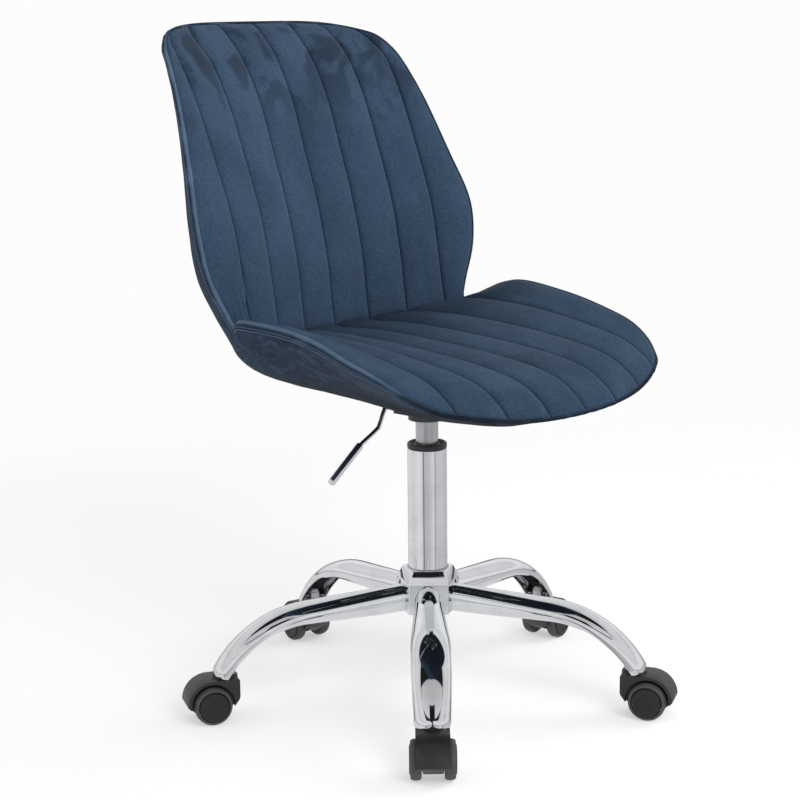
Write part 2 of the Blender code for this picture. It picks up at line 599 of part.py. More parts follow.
def build():
    build_hub()
    for number in range(LEG_COUNT):
        build_leg(number)
        build_socket(number)
        build_castor(number)
    build_lift()
    build_mechanism()
    build_lever()
    build_bucket()


build()
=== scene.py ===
"""Swivel office chair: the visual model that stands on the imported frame.

Lengths are in metres. Every sub-assembly is modelled about the gas lift's axis and then moved
to where the frame says that the lift stands.
"""
import functools
import logging
import math
from dataclasses import dataclass
from enum import Enum
from typing import NamedTuple, Optional, Sequence

import bmesh
import bpy
import numpy as np
from mathutils import Matrix, Vector


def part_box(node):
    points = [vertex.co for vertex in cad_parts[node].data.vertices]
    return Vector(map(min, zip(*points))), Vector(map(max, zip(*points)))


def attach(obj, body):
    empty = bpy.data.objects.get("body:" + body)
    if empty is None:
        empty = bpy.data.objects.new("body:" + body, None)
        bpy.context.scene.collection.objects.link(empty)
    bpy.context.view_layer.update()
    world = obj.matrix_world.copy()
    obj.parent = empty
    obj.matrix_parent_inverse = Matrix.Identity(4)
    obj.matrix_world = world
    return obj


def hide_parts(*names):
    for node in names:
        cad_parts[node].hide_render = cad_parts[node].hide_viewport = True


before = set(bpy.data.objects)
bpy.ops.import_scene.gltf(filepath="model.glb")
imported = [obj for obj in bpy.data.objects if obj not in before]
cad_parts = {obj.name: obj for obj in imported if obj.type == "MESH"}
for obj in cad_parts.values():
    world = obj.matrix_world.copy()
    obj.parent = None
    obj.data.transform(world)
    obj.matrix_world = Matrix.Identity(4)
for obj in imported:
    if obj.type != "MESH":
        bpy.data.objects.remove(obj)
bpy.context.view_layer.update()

LOG = logging.getLogger("office_chair")
Colour = tuple[float, float, float]
Point = tuple[float, float, float]
Profile = Sequence[tuple[float, float]]


def lift_axis() -> Vector:
    """Where the lift's axis meets the floor, from the frame's outer tube."""
    low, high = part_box("outer_tube")
    return Vector(((low.x + high.x) / 2, (low.y + high.y) / 2, 0.0))


LIFT = lift_axis()


class Side(Enum):
    """The two wheels of a castor, by the sign of their distance from its middle plane."""

    LEFT = 1
    RIGHT = -1

    @property
    def word(self) -> str:
        """The side as the frame's node names spell it."""
        return self.name.lower()


# --- node helpers and shared effects ------------------------------------------------------


class Wiring:
    """A small helper that adds nodes to a tree and links them."""

    def __init__(self, tree: bpy.types.NodeTree) -> None:
        """Start wiring a tree.

        Args:
            tree: The material's or group's node tree.
        """
        self.tree = tree
        self.count = 0

    def add(self, kind: str, settings: Optional[dict] = None, **inputs: object) -> bpy.types.Node:
        """Add a node.

        Args:
            kind: The node's type name.
            settings: Attributes to set on the node.
            **inputs: Socket values or sockets to link, by name with spaces as underscores.

        Returns:
            The new node.
        """
        node = self.tree.nodes.new(kind)
        node.location = (220 * (self.count % 8), -260 * (self.count // 8))
        self.count += 1
        for key, value in (settings or {}).items():
            setattr(node, key, value)
        for key, value in inputs.items():
            self.feed(node, key.replace("_", " "), value)
        return node

    def feed(self, node: bpy.types.Node, socket: str | int, value: object) -> None:
        """Link a socket to an input, or set the input's value.

        Args:
            node: The node that takes the value.
            socket: The input's name, or its index where names repeat.
            value: An output socket or a plain value.
        """
        target = node.inputs[int(socket)] if str(socket).isdigit() else node.inputs[socket]
        if isinstance(value, bpy.types.NodeSocket):
            self.tree.links.new(value, target)
        else:
            target.default_value = value

    def maths(self, operation: str, first: object, second: object = 0.0, third: object = 0.0) -> bpy.types.NodeSocket:
        """Add a Math node.

        Args:
            operation: The operation's name.
            first: The first operand.
            second: The second operand.
            third: The third operand, for the operations that take one.

        Returns:
            The result's socket.
        """
        node = self.add("ShaderNodeMath", {"operation": operation})
        for index, value in enumerate((first, second, third)):
            self.feed(node, index, value)
        return node.outputs[0]

    def times(self, *factors: object) -> bpy.types.NodeSocket:
        """The product of sockets and values."""
        return functools.reduce(lambda product, factor: self.maths("MULTIPLY", product, factor), factors)

    def ranged(self, value: object, low: object, high: object, kind: str = "SMOOTHSTEP") -> bpy.types.NodeSocket:
        """The share of the way that a value is from low to high."""
        return self.add("ShaderNodeMapRange", {"interpolation_type": kind}, Value=value, From_Min=low,
                        From_Max=high).outputs[0]

    def mix(self, amount: object, low: object, high: object) -> bpy.types.NodeSocket:
        """Mix two colours.

        Args:
            amount: How much of the second colour shows.
            low: The first colour, RGBA or a socket.
            high: The second colour, RGBA or a socket.

        Returns:
            The mixed colour's socket.
        """
        node = self.add("ShaderNodeMix", {"data_type": "RGBA"})
        self.feed(node, 0, amount)
        self.feed(node, 6, low)
        self.feed(node, 7, high)
        return node.outputs[2]


def rgba(colour: Colour) -> tuple[float, float, float, float]:
    """A colour with full alpha."""
    return (*colour, 1.0)


def new_group(name: str, inputs: dict[str, object], outputs: Sequence[str]) -> Wiring:
    """Make a shader node group with its sockets.

    Args:
        name: The group's name.
        inputs: Each input's default, a number or a vector, by its name.
        outputs: The names of the outputs, which are all numbers.

    Returns:
        A wiring helper for the group's tree.
    """
    tree = bpy.data.node_groups.new(name, "ShaderNodeTree")
    for label, default in inputs.items():
        kind = "NodeSocketVector" if isinstance(default, tuple) else "NodeSocketFloat"
        tree.interface.new_socket(name=label, in_out="INPUT", socket_type=kind).default_value = default
    for label in outputs:
        tree.interface.new_socket(name=label, in_out="OUTPUT", socket_type="NodeSocketFloat")
    return Wiring(tree)


def stretched_place(wire: Wiring, given: bpy.types.Node) -> bpy.types.NodeSocket:
    """Object coordinates times a group's Stretch input.

    Args:
        wire: The group's wiring.
        given: The group's input node.

    Returns:
        The coordinates' socket.
    """
    place = wire.add("ShaderNodeTexCoord")
    scaled = wire.add("ShaderNodeVectorMath", {"operation": "MULTIPLY"})
    wire.feed(scaled, 0, place.outputs["Object"])
    wire.feed(scaled, 1, given.outputs["Stretch"])
    return scaled.outputs[0]


def make_mottle_group() -> bpy.types.NodeTree:
    """A soft-edged patchy mask in object space, for nap, polish and dust.

    Returns:
        The node group.
    """
    wire = new_group("patchy_mask", {"Scale": 10.0, "Stretch": (1, 1, 1), "Detail": 4.0, "Warp": 0.0,
                                     "Low": 0.4, "High": 0.6}, ("Mask", "Height"))
    given = wire.add("NodeGroupInput")
    noise = wire.add("ShaderNodeTexNoise", Vector=stretched_place(wire, given), Scale=given.outputs["Scale"],
                     Detail=given.outputs["Detail"], Distortion=given.outputs["Warp"])
    mask = wire.ranged(noise.outputs[0], given.outputs["Low"], given.outputs["High"])
    wire.add("NodeGroupOutput", Mask=mask, Height=noise.outputs[0])
    return wire.tree


def make_grain_group() -> bpy.types.NodeTree:
    """Fine relief for pile, moulded grain or polishing marks, with broader lumps under it.

    Returns:
        The node group.
    """
    lump_scale = 0.17
    wire = new_group("fine_grain", {"Scale": 900.0, "Stretch": (1, 1, 1), "Coarse": 0.3}, ("Height", "Mask"))
    given = wire.add("NodeGroupInput")
    place, scale = stretched_place(wire, given), given.outputs["Scale"]
    fine = wire.add("ShaderNodeTexNoise", Vector=place, Scale=scale, Detail=2.0)
    lumps = wire.add("ShaderNodeTexNoise", Vector=place, Scale=wire.times(scale, lump_scale), Detail=3.0)
    height = wire.maths("ADD", fine.outputs[0], wire.times(lumps.outputs[0], given.outputs["Coarse"]))
    wire.add("NodeGroupOutput", Height=height, Mask=wire.ranged(fine.outputs[0], 0.35, 0.65, "LINEAR"))
    return wire.tree


class Effects:
    """The node groups that several materials share, each built once."""

    def __init__(self) -> None:
        """Build the groups."""
        self.mottle = make_mottle_group()
        self.grain = make_grain_group()

    def patches(self, wire: Wiring, **inputs: object) -> bpy.types.Node:
        """Place the patchy mask in a material, with values for its inputs."""
        return wire.add("ShaderNodeGroup", {"node_tree": self.mottle}, **inputs)

    def grains(self, wire: Wiring, **inputs: object) -> bpy.types.Node:
        """Place the fine grain in a material, with values for its inputs."""
        return wire.add("ShaderNodeGroup", {"node_tree": self.grain}, **inputs)


EFFECTS = Effects()


def blank_material(name: str) -> tuple[bpy.types.Material, Wiring, bpy.types.Node]:
    """A material with nothing but its Principled shader and output.

    Args:
        name: The material's name.

    Returns:
        The material, its wiring and the Principled node.
    """
    material = bpy.data.materials.new(name)
    material.use_nodes = True
    material.node_tree.nodes.clear()
    wire = Wiring(material.node_tree)
    shader = wire.add("ShaderNodeBsdfPrincipled")
    output = wire.add("ShaderNodeOutputMaterial")
    wire.feed(output, "Surface", shader.outputs[0])
    return material, wire, shader


def wire_surface(wire: Wiring, shader: bpy.types.Node, mask: bpy.types.NodeSocket, colours: tuple[Colour, Colour],
                 roughness: tuple[object, float, float], relief: tuple[object, float, float]) -> None:
    """Wire a plain finish of two colours.

    Args:
        wire: The material's wiring.
        shader: Its Principled node.
        mask: Where the second colour shows.
        colours: The two colours.
        roughness: A mask, how much rougher it makes the surface, and the roughness without it.
        relief: The bump's height, strength and distance.
    """
    wire.feed(shader, "Base Color", wire.mix(mask, *(rgba(colour) for colour in colours)))
    wire.feed(shader, "Roughness", wire.maths("MULTIPLY_ADD", *roughness))
    height, strength, distance = relief
    bump = wire.add("ShaderNodeBump", Height=height, Strength=strength, Distance=distance)
    wire.feed(shader, "Normal", bump.outputs[0])


# --- finishes -----------------------------------------------------------------------------


@dataclass(frozen=True)
class VelvetFinish:
    """Short-pile velvet, whose nap lies in patches and turns pale where it is pressed flat, and which takes painted
    shade and painted highlights from masks on the mesh.
    """

    name: str = "petrol_velvet"
    slot: str = "velvet"
    deep: Colour = (0.0205, 0.0385, 0.0690)
    nap: Colour = (0.0380, 0.0680, 0.1130)
    # Pale flattened nap, and also the colour of painted highlights.
    crushed: Colour = (0.0720, 0.1130, 0.1830)
    # The colour of painted shade in seams, creases and dips, and under the bucket.
    hidden: Colour = (0.0040, 0.0075, 0.0120)
    crush: float = 0.10
    crush_low: float = 0.60
    crush_span: float = 0.16
    reversed_nap: float = 0.80
    relief: float = 0.06
    sheen: float = 0.15
    pile: float = 0.50
    brush: float = 30.0

    def material(self) -> bpy.types.Material:
        """Build the material."""
        material, wire, shader = blank_material(self.name)
        broad = EFFECTS.patches(wire, Scale=6.5, Stretch=(1.0, 1.0, 0.8), Detail=3.0, Warp=0.8, Low=0.34, High=0.68)
        turned = EFFECTS.patches(wire, Scale=19.0, Stretch=(1.0, 0.8, 0.8), Detail=9.0, Warp=0.9, Low=0.46, High=0.60)
        brushed = EFFECTS.patches(wire, Scale=self.brush, Stretch=(1.0, 0.6, 0.6), Detail=9.0, Warp=0.8,
                                  Low=self.crush_low, High=self.crush_low + self.crush_span)
        flecks = EFFECTS.patches(wire, Scale=420.0, Detail=4.0, Low=0.34, High=0.66).outputs["Mask"]
        colour = wire.mix(wire.maths("ADD", wire.times(broad.outputs["Mask"], 0.45), wire.times(flecks, 0.55)),
                          rgba(self.deep), rgba(self.nap))
        half_dark = tuple(0.50 * value for value in self.deep)
        # The last two masks from the mesh paint light and shade: a painted highlight beside the seams and on the rim's
        # near side, and painted shade in the seams, the seat's crease, the rim's far side and under the bucket.
        for mask, over in ((self.masked(wire, "turned", turned.outputs["Mask"], self.reversed_nap), half_dark),
                           (wire.times(brushed.outputs["Mask"], self.crush), self.crushed),
                           (self.masked(wire, "lift", 1.0, 0.85), self.crushed),
                           (self.masked(wire, "painted_shade", 1.0, 0.90), self.hidden)):
            colour = wire.mix(mask, colour, rgba(over))
        wire.feed(shader, "Base Color", colour)
        wire.feed(shader, "Roughness", wire.maths("MULTIPLY_ADD", flecks, -0.12, 0.88))
        fibres = EFFECTS.grains(wire, Scale=1500.0, Coarse=0.9)
        waves = EFFECTS.patches(wire, Scale=42.0, Detail=4.0, Warp=0.6, Low=0.2, High=0.8)
        fine = wire.add("ShaderNodeBump", Height=fibres.outputs["Height"], Strength=self.pile, Distance=0.0006)
        folds = wire.add("ShaderNodeBump", Height=waves.outputs["Height"], Strength=self.relief, Distance=0.0035,
                         Normal=fine.outputs[0])
        wire.feed(shader, "Normal", folds.outputs[0])
        for label, value in (("Sheen Weight", self.sheen), ("Sheen Roughness", 0.38),
                             ("Sheen Tint", (0.48, 0.62, 0.85, 1.0)), ("Specular IOR Level", 0.15)):
            shader.inputs[label].default_value = value
        return material

    @staticmethod
    def masked(wire: Wiring, name: str, mask: object, amount: float) -> bpy.types.NodeSocket:
        """Scale a mask, or 1, by an attribute of the mesh and by an amount."""
        layer = wire.add("ShaderNodeAttribute", {"attribute_name": name})
        return wire.times(layer.outputs["Fac"], mask, amount)


@dataclass(frozen=True)
class ChromeFinish:
    """Polished chrome plate, with faint wiping marks and a slight waviness of the pressing."""

    name: str = "chrome_plating"
    slot: str = "chrome_plate"
    colour: Colour = (0.80, 0.81, 0.825)
    worn: Colour = (0.70, 0.71, 0.72)
    smooth: float = 0.035
    wiped: float = 0.085
    wave: float = 0.05

    def material(self) -> bpy.types.Material:
        """Build the material."""
        material, wire, shader = blank_material(self.name)
        wipe = EFFECTS.patches(wire, Scale=14.0, Stretch=(1.0, 1.0, 2.2), Detail=5.0, Warp=0.5, Low=0.42,
                               High=0.70).outputs["Mask"]
        waves = EFFECTS.patches(wire, Scale=26.0, Detail=1.0, Low=0.0, High=1.0).outputs["Height"]
        wire_surface(wire, shader, wipe, (self.colour, self.worn), (wipe, self.wiped - self.smooth, self.smooth),
                     (waves, self.wave, 0.004))
        shader.inputs["Metallic"].default_value = 1.0
        return material


@dataclass(frozen=True)
class SteelFinish:
    """Turned, brushed or zinc-plated steel, with marks along one direction."""

    name: str
    slot: str
    colour: Colour
    dull: Colour
    stretch: Point = (1.0, 1.0, 12.0)
    roughness: float = 0.26

    def material(self) -> bpy.types.Material:
        """Build the material."""
        material, wire, shader = blank_material(self.name)
        marks = EFFECTS.grains(wire, Scale=260.0, Stretch=self.stretch, Coarse=0.5)
        cloud = EFFECTS.patches(wire, Scale=24.0, Detail=4.0, Low=0.35, High=0.7).outputs["Mask"]
        wire_surface(wire, shader, cloud, (self.colour, self.dull), (marks.outputs["Mask"], 0.10, self.roughness),
                     (marks.outputs["Height"], 0.12, 0.0003))
        shader.inputs["Metallic"].default_value = 1.0
        return material


@dataclass(frozen=True)
class MouldedFinish:
    """Moulded or painted black and grey parts, with a fine grain, rubbed places and dust."""

    name: str
    slot: str
    colour: Colour
    rubbed: Colour
    roughness: float = 0.42
    grain: float = 0.25
    scale: float = 1400.0

    def material(self) -> bpy.types.Material:
        """Build the material."""
        material, wire, shader = blank_material(self.name)
        rubs = EFFECTS.patches(wire, Scale=38.0, Detail=6.0, Warp=0.4, Low=0.44, High=0.74).outputs["Mask"]
        skin = EFFECTS.grains(wire, Scale=self.scale, Coarse=0.4).outputs["Height"]
        wire_surface(wire, shader, rubs, (self.colour, self.rubbed), (rubs, 0.14, self.roughness),
                     (skin, self.grain, 0.0003))
        return material


@dataclass(frozen=True)
class PlywoodFinish:
    """The moulded shell inside the upholstery."""

    name: str = "shell_plywood"
    slot: str = "plywood"
    pale: Colour = (0.48, 0.34, 0.20)
    dark: Colour = (0.30, 0.19, 0.10)

    def material(self) -> bpy.types.Material:
        """Build the material."""
        material, wire, shader = blank_material(self.name)
        rings = EFFECTS.patches(wire, Scale=9.0, Stretch=(14.0, 1.0, 1.0), Detail=6.0, Warp=0.3, Low=0.3, High=0.7)
        mask = rings.outputs["Mask"]
        wire_surface(wire, shader, mask, (self.pale, self.dark), (mask, 0.2, 0.55),
                     (rings.outputs["Height"], 0.3, 0.0006))
        return material


FINISHES = {
    "velvet": VelvetFinish(),
    # The seat's copy of the velvet is a little darker: painted shade on the seat.
    "seat_velvet": VelvetFinish(name="seat_velvet", deep=(0.0190, 0.0370, 0.0640), nap=(0.0350, 0.0640, 0.1040),
                                crush=0.16, crush_low=0.54, reversed_nap=0.45, sheen=0.04),
    # The outer cover's copy is much darker: painted shade on the bucket's outside and underside.
    "outer_velvet": VelvetFinish(name="outer_velvet", deep=(0.0110, 0.0220, 0.0430), nap=(0.0190, 0.0370, 0.0690),
                                 crushed=(0.0420, 0.0740, 0.1300), crush=0.50, crush_low=0.46, crush_span=0.24,
                                 relief=0.40, sheen=0.04, brush=95.0, reversed_nap=0.55),
    # The rim's and the piping's copies have darker base colours and much paler highlight colours: painted shade and
    # painted highlights.
    "rim_velvet": VelvetFinish(name="rim_velvet", deep=(0.0115, 0.0240, 0.0430), nap=(0.0210, 0.0420, 0.0730),
                               crushed=(0.1000, 0.1560, 0.2350), crush=0.45, crush_low=0.50, relief=0.20, sheen=0.0),
    "piping": VelvetFinish(name="piping_velvet", deep=(0.0100, 0.0240, 0.0450), nap=(0.0200, 0.0440, 0.0780),
                           crushed=(0.1100, 0.1650, 0.2450), crush=0.4, crush_low=0.48, sheen=0.0),
    "chrome": ChromeFinish(),
    "chrome_rod": ChromeFinish(name="lever_chrome", smooth=0.05, wiped=0.11),
    "piston": SteelFinish("ground_piston", "satin_steel", (0.60, 0.61, 0.62), (0.47, 0.48, 0.49)),
    "zinc": SteelFinish("zinc_plate", "zinc_steel", (0.56, 0.57, 0.58), (0.40, 0.41, 0.43), (1, 1, 1), 0.34),
    "collar": MouldedFinish("collar_plastic", "black_nylon", (0.016, 0.016, 0.017), (0.032, 0.032, 0.033), 0.38),
    "hood": MouldedFinish("hood_nylon", "black_nylon", (0.0115, 0.0120, 0.0122), (0.0230, 0.0235, 0.0240), 0.40, 0.35),
    "disc": MouldedFinish("disc_nylon", "black_nylon", (0.0050, 0.0053, 0.0055), (0.0105, 0.0108, 0.0110), 0.42, 0.30),
    "tread": MouldedFinish("soft_tread", "grey_tread", (0.048, 0.048, 0.047), (0.070, 0.070, 0.068), 0.60, 0.3),
    "painted": MouldedFinish("painted_steel", "black_steel", (0.015, 0.015, 0.016), (0.045, 0.045, 0.046), 0.36, 0.2,
                             600.0),
    "plywood": PlywoodFinish(),
}
MATERIALS = {key: finish.material() for key, finish in FINISHES.items()}


# --- making pieces ------------------------------------------------------------------------

ON_AXIS = 1e-6


def finish_piece(piece: bpy.types.Object, finish: str, body: str, nodes: Sequence[str] = ()) -> bpy.types.Object:
    """Dress a piece, tie it to its body and hide the frame's nodes that it replaces.

    Args:
        piece: The finished mesh object, in place.
        finish: A key of FINISHES.
        body: The body of the frame that the piece moves with.
        nodes: The frame's nodes that it replaces.

    Returns:
        The piece.
    """
    piece.data.materials.clear()
    piece.data.materials.append(MATERIALS[finish])
    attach(piece, body)
    if nodes:
        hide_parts(*nodes)
    LOG.info("%s: %d faces on %s", piece.name, len(piece.data.polygons), body)
    return piece


def link_mesh(name: str, mesh: bpy.types.Mesh, at: Optional[Matrix] = None) -> bpy.types.Object:
    """Put a mesh in the scene as an object.

    Args:
        name: The object's name.
        mesh: Its mesh.
        at: Its place; the lift's axis if left out.

    Returns:
        The object.
    """
    piece = bpy.data.objects.new(name, mesh)
    bpy.context.scene.collection.objects.link(piece)
    piece.matrix_world = Matrix.Translation(LIFT) if at is None else at
    return piece


def shade(mesh: bpy.types.Mesh, angle: float = 35.0) -> bpy.types.Mesh:
    """Smooth a mesh's shading, and leave edges sharper than an angle in degrees hard.

    Args:
        mesh: The mesh.
        angle: The angle.

    Returns:
        The same mesh.
    """
    mesh.shade_smooth()
    mesh.set_sharp_from_angle(angle=math.radians(angle))
    return mesh


def mesh_from(name: str, bm: bmesh.types.BMesh, angle: float = 35.0) -> bpy.types.Mesh:
    """Turn a bmesh into a shaded mesh with its faces outward.

    Args:
        name: The mesh's name.
        bm: The bmesh, which is freed.
        angle: The angle above which edges stay hard, in degrees.

    Returns:
        The mesh.
    """
    bmesh.ops.recalc_face_normals(bm, faces=bm.faces)
    mesh = bpy.data.meshes.new(name)
    bm.to_mesh(mesh)
    bm.free()
    return shade(mesh, angle)


def rounded(profile: Profile, radius: float, steps: int = 4, closed: bool = False) -> list[tuple[float, float]]:
    """Round the corners of a profile.

    Args:
        profile: Corner points.
        radius: The largest radius of a corner.
        steps: Segments in each round.
        closed: Whether the profile is a loop; otherwise its two ends stay.

    Returns:
        The rounded profile's points.
    """
    points = [Vector(point) for point in profile]
    result = []
    count = len(points)
    for index, here in enumerate(points):
        if not closed and index in (0, count - 1):
            result.append(tuple(here))
            continue
        before, after = points[index - 1] - here, points[(index + 1) % count] - here
        cut = min(radius, before.length * 0.45, after.length * 0.45)
        start, end = here + before.normalized() * cut, here + after.normalized() * cut
        for step in range(steps + 1):
            share = step / steps
            result.append(tuple(start.lerp(here, share).lerp(here.lerp(end, share), share)))
    return result


def stack_rings(bm: bmesh.types.BMesh, rings: Sequence[Sequence[bmesh.types.BMVert]]) -> None:
    """Join rings of points into a capped body.

    Args:
        bm: The bmesh.
        rings: Rings with the same number of points.
    """
    sides = len(rings[0])
    for ring, following in zip(rings, rings[1:]):
        for side in range(sides):
            after = (side + 1) % sides
            bm.faces.new((ring[side], ring[after], following[after], following[side]))
    bm.faces.new(rings[0][::-1])
    bm.faces.new(rings[-1])


def turned_mesh(name: str, profile: Profile, segments: int = 64, closed: bool = False) -> bpy.types.Mesh:
    """Turn a profile of (radius, height) about Z.

    Args:
        name: The mesh's name.
        profile: The profile's points.
        segments: Sides of the round.
        closed: Whether the profile is a loop, as of a ring.

    Returns:
        The mesh.
    """
    bm = bmesh.new()
    turns = [2 * math.pi * side / segments for side in range(segments)]
    rings = [[bm.verts.new((radius * math.cos(turn), radius * math.sin(turn), height))
              for turn in (turns if radius > ON_AXIS else turns[:1])] for radius, height in profile]
    for ring, following in zip(rings, rings[1:] + rings[:1] if closed else rings[1:]):
        if len(ring) == 1 and len(following) == 1:
            continue
        for side in range(segments):
            corners = [ring[side % len(ring)], ring[(side + 1) % segments % len(ring)],
                       following[(side + 1) % segments % len(following)], following[side % len(following)]]
            bm.faces.new(list(dict.fromkeys(corners)))
    return mesh_from(name, bm)


def grid_quads(index: np.ndarray) -> list[list[int]]:
    """The quads between neighbours in a grid of point numbers."""
    return np.stack([index[:-1, :-1], index[:-1, 1:], index[1:, 1:], index[1:, :-1]], axis=-1).reshape(-1, 4).tolist()


def grid_mesh(name: str, points: np.ndarray, loop: bool = False) -> bpy.types.Mesh:
    """A quad mesh over a grid of points.

    Args:
        name: The mesh's name.
        points: An array of rows, columns and three coordinates.
        loop: Whether each row closes on itself.

    Returns:
        The mesh.
    """
    index = np.arange(points.size // 3).reshape(points.shape[:2])
    if loop:
        index = np.concatenate([index, index[:, :1]], axis=1)
    mesh = bpy.data.meshes.new(name)
    mesh.from_pydata(points.reshape(-1, 3).tolist(), [], grid_quads(index))
    mesh.shade_smooth()
    return mesh


def tube_points(path: np.ndarray, across: np.ndarray, along: np.ndarray, radius: float, sides: int = 8) -> np.ndarray:
    """Rings of a round cord that follows a path.

    Args:
        path: Points on the cord's middle.
        across: A unit direction across the cord at each point.
        along: A second unit direction across it.
        radius: The cord's radius.
        sides: Sides of each ring.

    Returns:
        A grid of points, one row for each side.
    """
    angles = np.linspace(0, 2 * np.pi, sides + 1)
    return np.stack([path + radius * (np.cos(angle) * across + np.sin(angle) * along) for angle in angles])


def paint(mesh: bpy.types.Mesh, masks: dict[str, np.ndarray]) -> None:
    """Store masks on a mesh's points for its material to read.

    Args:
        mesh: The mesh.
        masks: Values for the first points of the mesh, by the attribute's name; the rest get 0.
    """
    for label, mask in masks.items():
        values = np.zeros(len(mesh.vertices))
        values[:mask.size] = mask.reshape(-1)
        mesh.attributes.new(label, "FLOAT", "POINT").data.foreach_set("value", values)


def swept_mesh(name: str, path: Sequence[Point], radius: float, sides: int = 24) -> bpy.types.Mesh:
    """A capped round bar along a path in the XZ plane.

    Args:
        name: The mesh's name.
        path: Points of its middle.
        radius: Its radius.
        sides: Sides of the round.

    Returns:
        The mesh.
    """
    up = Vector((0, 1, 0))
    bm = bmesh.new()
    rings = []
    for index, point in enumerate(path):
        ahead = Vector(path[min(index + 1, len(path) - 1)]) - Vector(path[max(index - 1, 0)])
        across = ahead.normalized().cross(up).normalized()
        rings.append([bm.verts.new(Vector(point) + radius * (math.cos(turn) * across + math.sin(turn) * up))
                      for turn in (2 * math.pi * side / sides for side in range(sides))])
    stack_rings(bm, rings)
    return mesh_from(name, bm)


def smooth_path(corners: Sequence[tuple[float, float]], steps: int = 8) -> list[Point]:
    """A Catmull-Rom path in the XZ plane through corners.

    Args:
        corners: Points as (x, z).
        steps: Points for each stretch.

    Returns:
        Points as (x, 0, z).
    """
    spots = np.linspace(0, len(corners) - 1, (len(corners) - 1) * steps + 1)
    xs = read_along([corner[0] for corner in corners], spots)
    zs = read_along([corner[1] for corner in corners], spots)
    return [(float(x), 0.0, float(z)) for x, z in zip(xs, zs)]


def read_along(values: Sequence[float], at: np.ndarray, corner: int = -1) -> np.ndarray:
    """Read a list at fractional indices with a Catmull-Rom spline.

    Args:
        values: The list.
        at: Fractional indices.
        corner: An index where the curve may turn sharply.

    Returns:
        The values read.
    """
    data = np.asarray(values, float)
    last = len(data) - 1
    index = np.minimum(at.astype(int), last - 1)
    share = at - index
    second, third = data[index], data[index + 1]
    first = np.where((index > 0) & (index != corner), data[np.maximum(index - 1, 0)], 2 * second - third)
    fourth = np.where((index + 2 <= last) & (index + 1 != corner), data[np.minimum(index + 2, last)],
                      2 * third - second)
    return between((first, second, third, fourth), share)


def apply_modifiers(piece: bpy.types.Object, name: str) -> bpy.types.Mesh:
    """The mesh that a piece's modifiers make.

    Args:
        piece: The piece, which is left as it is.
        name: The new mesh's name.

    Returns:
        The new mesh.
    """
    graph = bpy.context.evaluated_depsgraph_get()
    mesh = bpy.data.meshes.new_from_object(piece.evaluated_get(graph))
    mesh.name = name
    return mesh


def modify(piece: bpy.types.Object, kind: str, **settings: object) -> None:
    """Add a modifier to a piece, with its settings."""
    modifier = piece.modifiers.new(kind.lower(), kind)
    for label, value in settings.items():
        setattr(modifier, label, value)


def bake(piece: bpy.types.Object) -> bpy.types.Object:
    """Make a piece's modifiers part of its mesh.

    Args:
        piece: The piece.

    Returns:
        The same piece.
    """
    piece.data = apply_modifiers(piece, piece.name)
    piece.modifiers.clear()
    return piece


def cut_round(piece: bpy.types.Object, radius: float, depth: float, at: Matrix) -> bpy.types.Object:
    """Cut a round hole into a piece with a modifier.

    Args:
        piece: The piece.
        radius: The hole's radius.
        depth: Its length.
        at: The place of its middle in the piece.

    Returns:
        The tool, to be removed once the modifier is applied.
    """
    bm = bmesh.new()
    bmesh.ops.create_cone(bm, cap_ends=True, segments=96, radius1=radius, radius2=radius, depth=depth, matrix=at)
    tool = link_mesh("cutting_tool", mesh_from("cutting_tool", bm), piece.matrix_world.copy())
    modify(piece, "BOOLEAN", operation="DIFFERENCE", solver="EXACT", object=tool)
    return tool


# --- sums over arrays ---------------------------------------------------------------------


def bell(values: np.ndarray, middle: float, width: float) -> np.ndarray:
    """A bump that is 1 at its middle and falls off over its width."""
    return np.exp(-((values - middle) / width) ** 2)


def slide(values: np.ndarray, start: float, end: float) -> np.ndarray:
    """The share of the way from start to end, kept from 0 to 1."""
    return np.clip((values - start) / (end - start), 0, 1)


def unit(vectors: np.ndarray) -> np.ndarray:
    """Vectors of length 1, along the last axis."""
    return vectors / np.maximum(np.linalg.norm(vectors, axis=-1, keepdims=True), 1e-9)


def travelled(points: np.ndarray) -> np.ndarray:
    """The distance along lines of points, from the first point of each."""
    hops = np.linalg.norm(np.diff(points, axis=0), axis=-1)
    return np.concatenate([np.zeros((1,) + hops.shape[1:]), np.cumsum(hops, axis=0)])


def read_line(line: np.ndarray, length: np.ndarray, spots: np.ndarray, period: Optional[float] = None) -> np.ndarray:
    """Points of a line at distances along it.

    Args:
        line: The line's points.
        length: The distance at each of them.
        spots: The distances asked for.
        period: The whole length of a closed line.

    Returns:
        The points.
    """
    return np.stack([np.interp(spots, length, line[:, axis], period=period) for axis in range(3)], axis=1)


def between(quad: Sequence[np.ndarray], share: np.ndarray) -> np.ndarray:
    """Catmull-Rom between the middle two of four values."""
    a, b, c, d = quad
    return 0.5 * (2 * b + (c - a) * share + (2 * a - 5 * b + 4 * c - d) * share ** 2
                  + (3 * b - a - 3 * c + d) * share ** 3)


# --- the base -----------------------------------------------------------------------------

LEG_COUNT = 5
FIRST_LEG = math.radians(-138)
PIVOT_RADIUS = 0.2600


def leg_angle(number: float) -> float:
    """The direction of a leg, counted from 1, or between two legs."""
    return FIRST_LEG + (number - 1) * 2 * math.pi / LEG_COUNT


def mixed(low: float, high: float, amount: float) -> float:
    """A value between two, with its share kept from 0 to 1."""
    return low + (high - low) * min(max(amount, 0.0), 1.0)


def eased(low: float, high: float, amount: float) -> float:
    """As mixed, but leaving and arriving gently."""
    share = min(max(amount, 0.0), 1.0)
    return low + (high - low) * share * share * (3 - 2 * share)


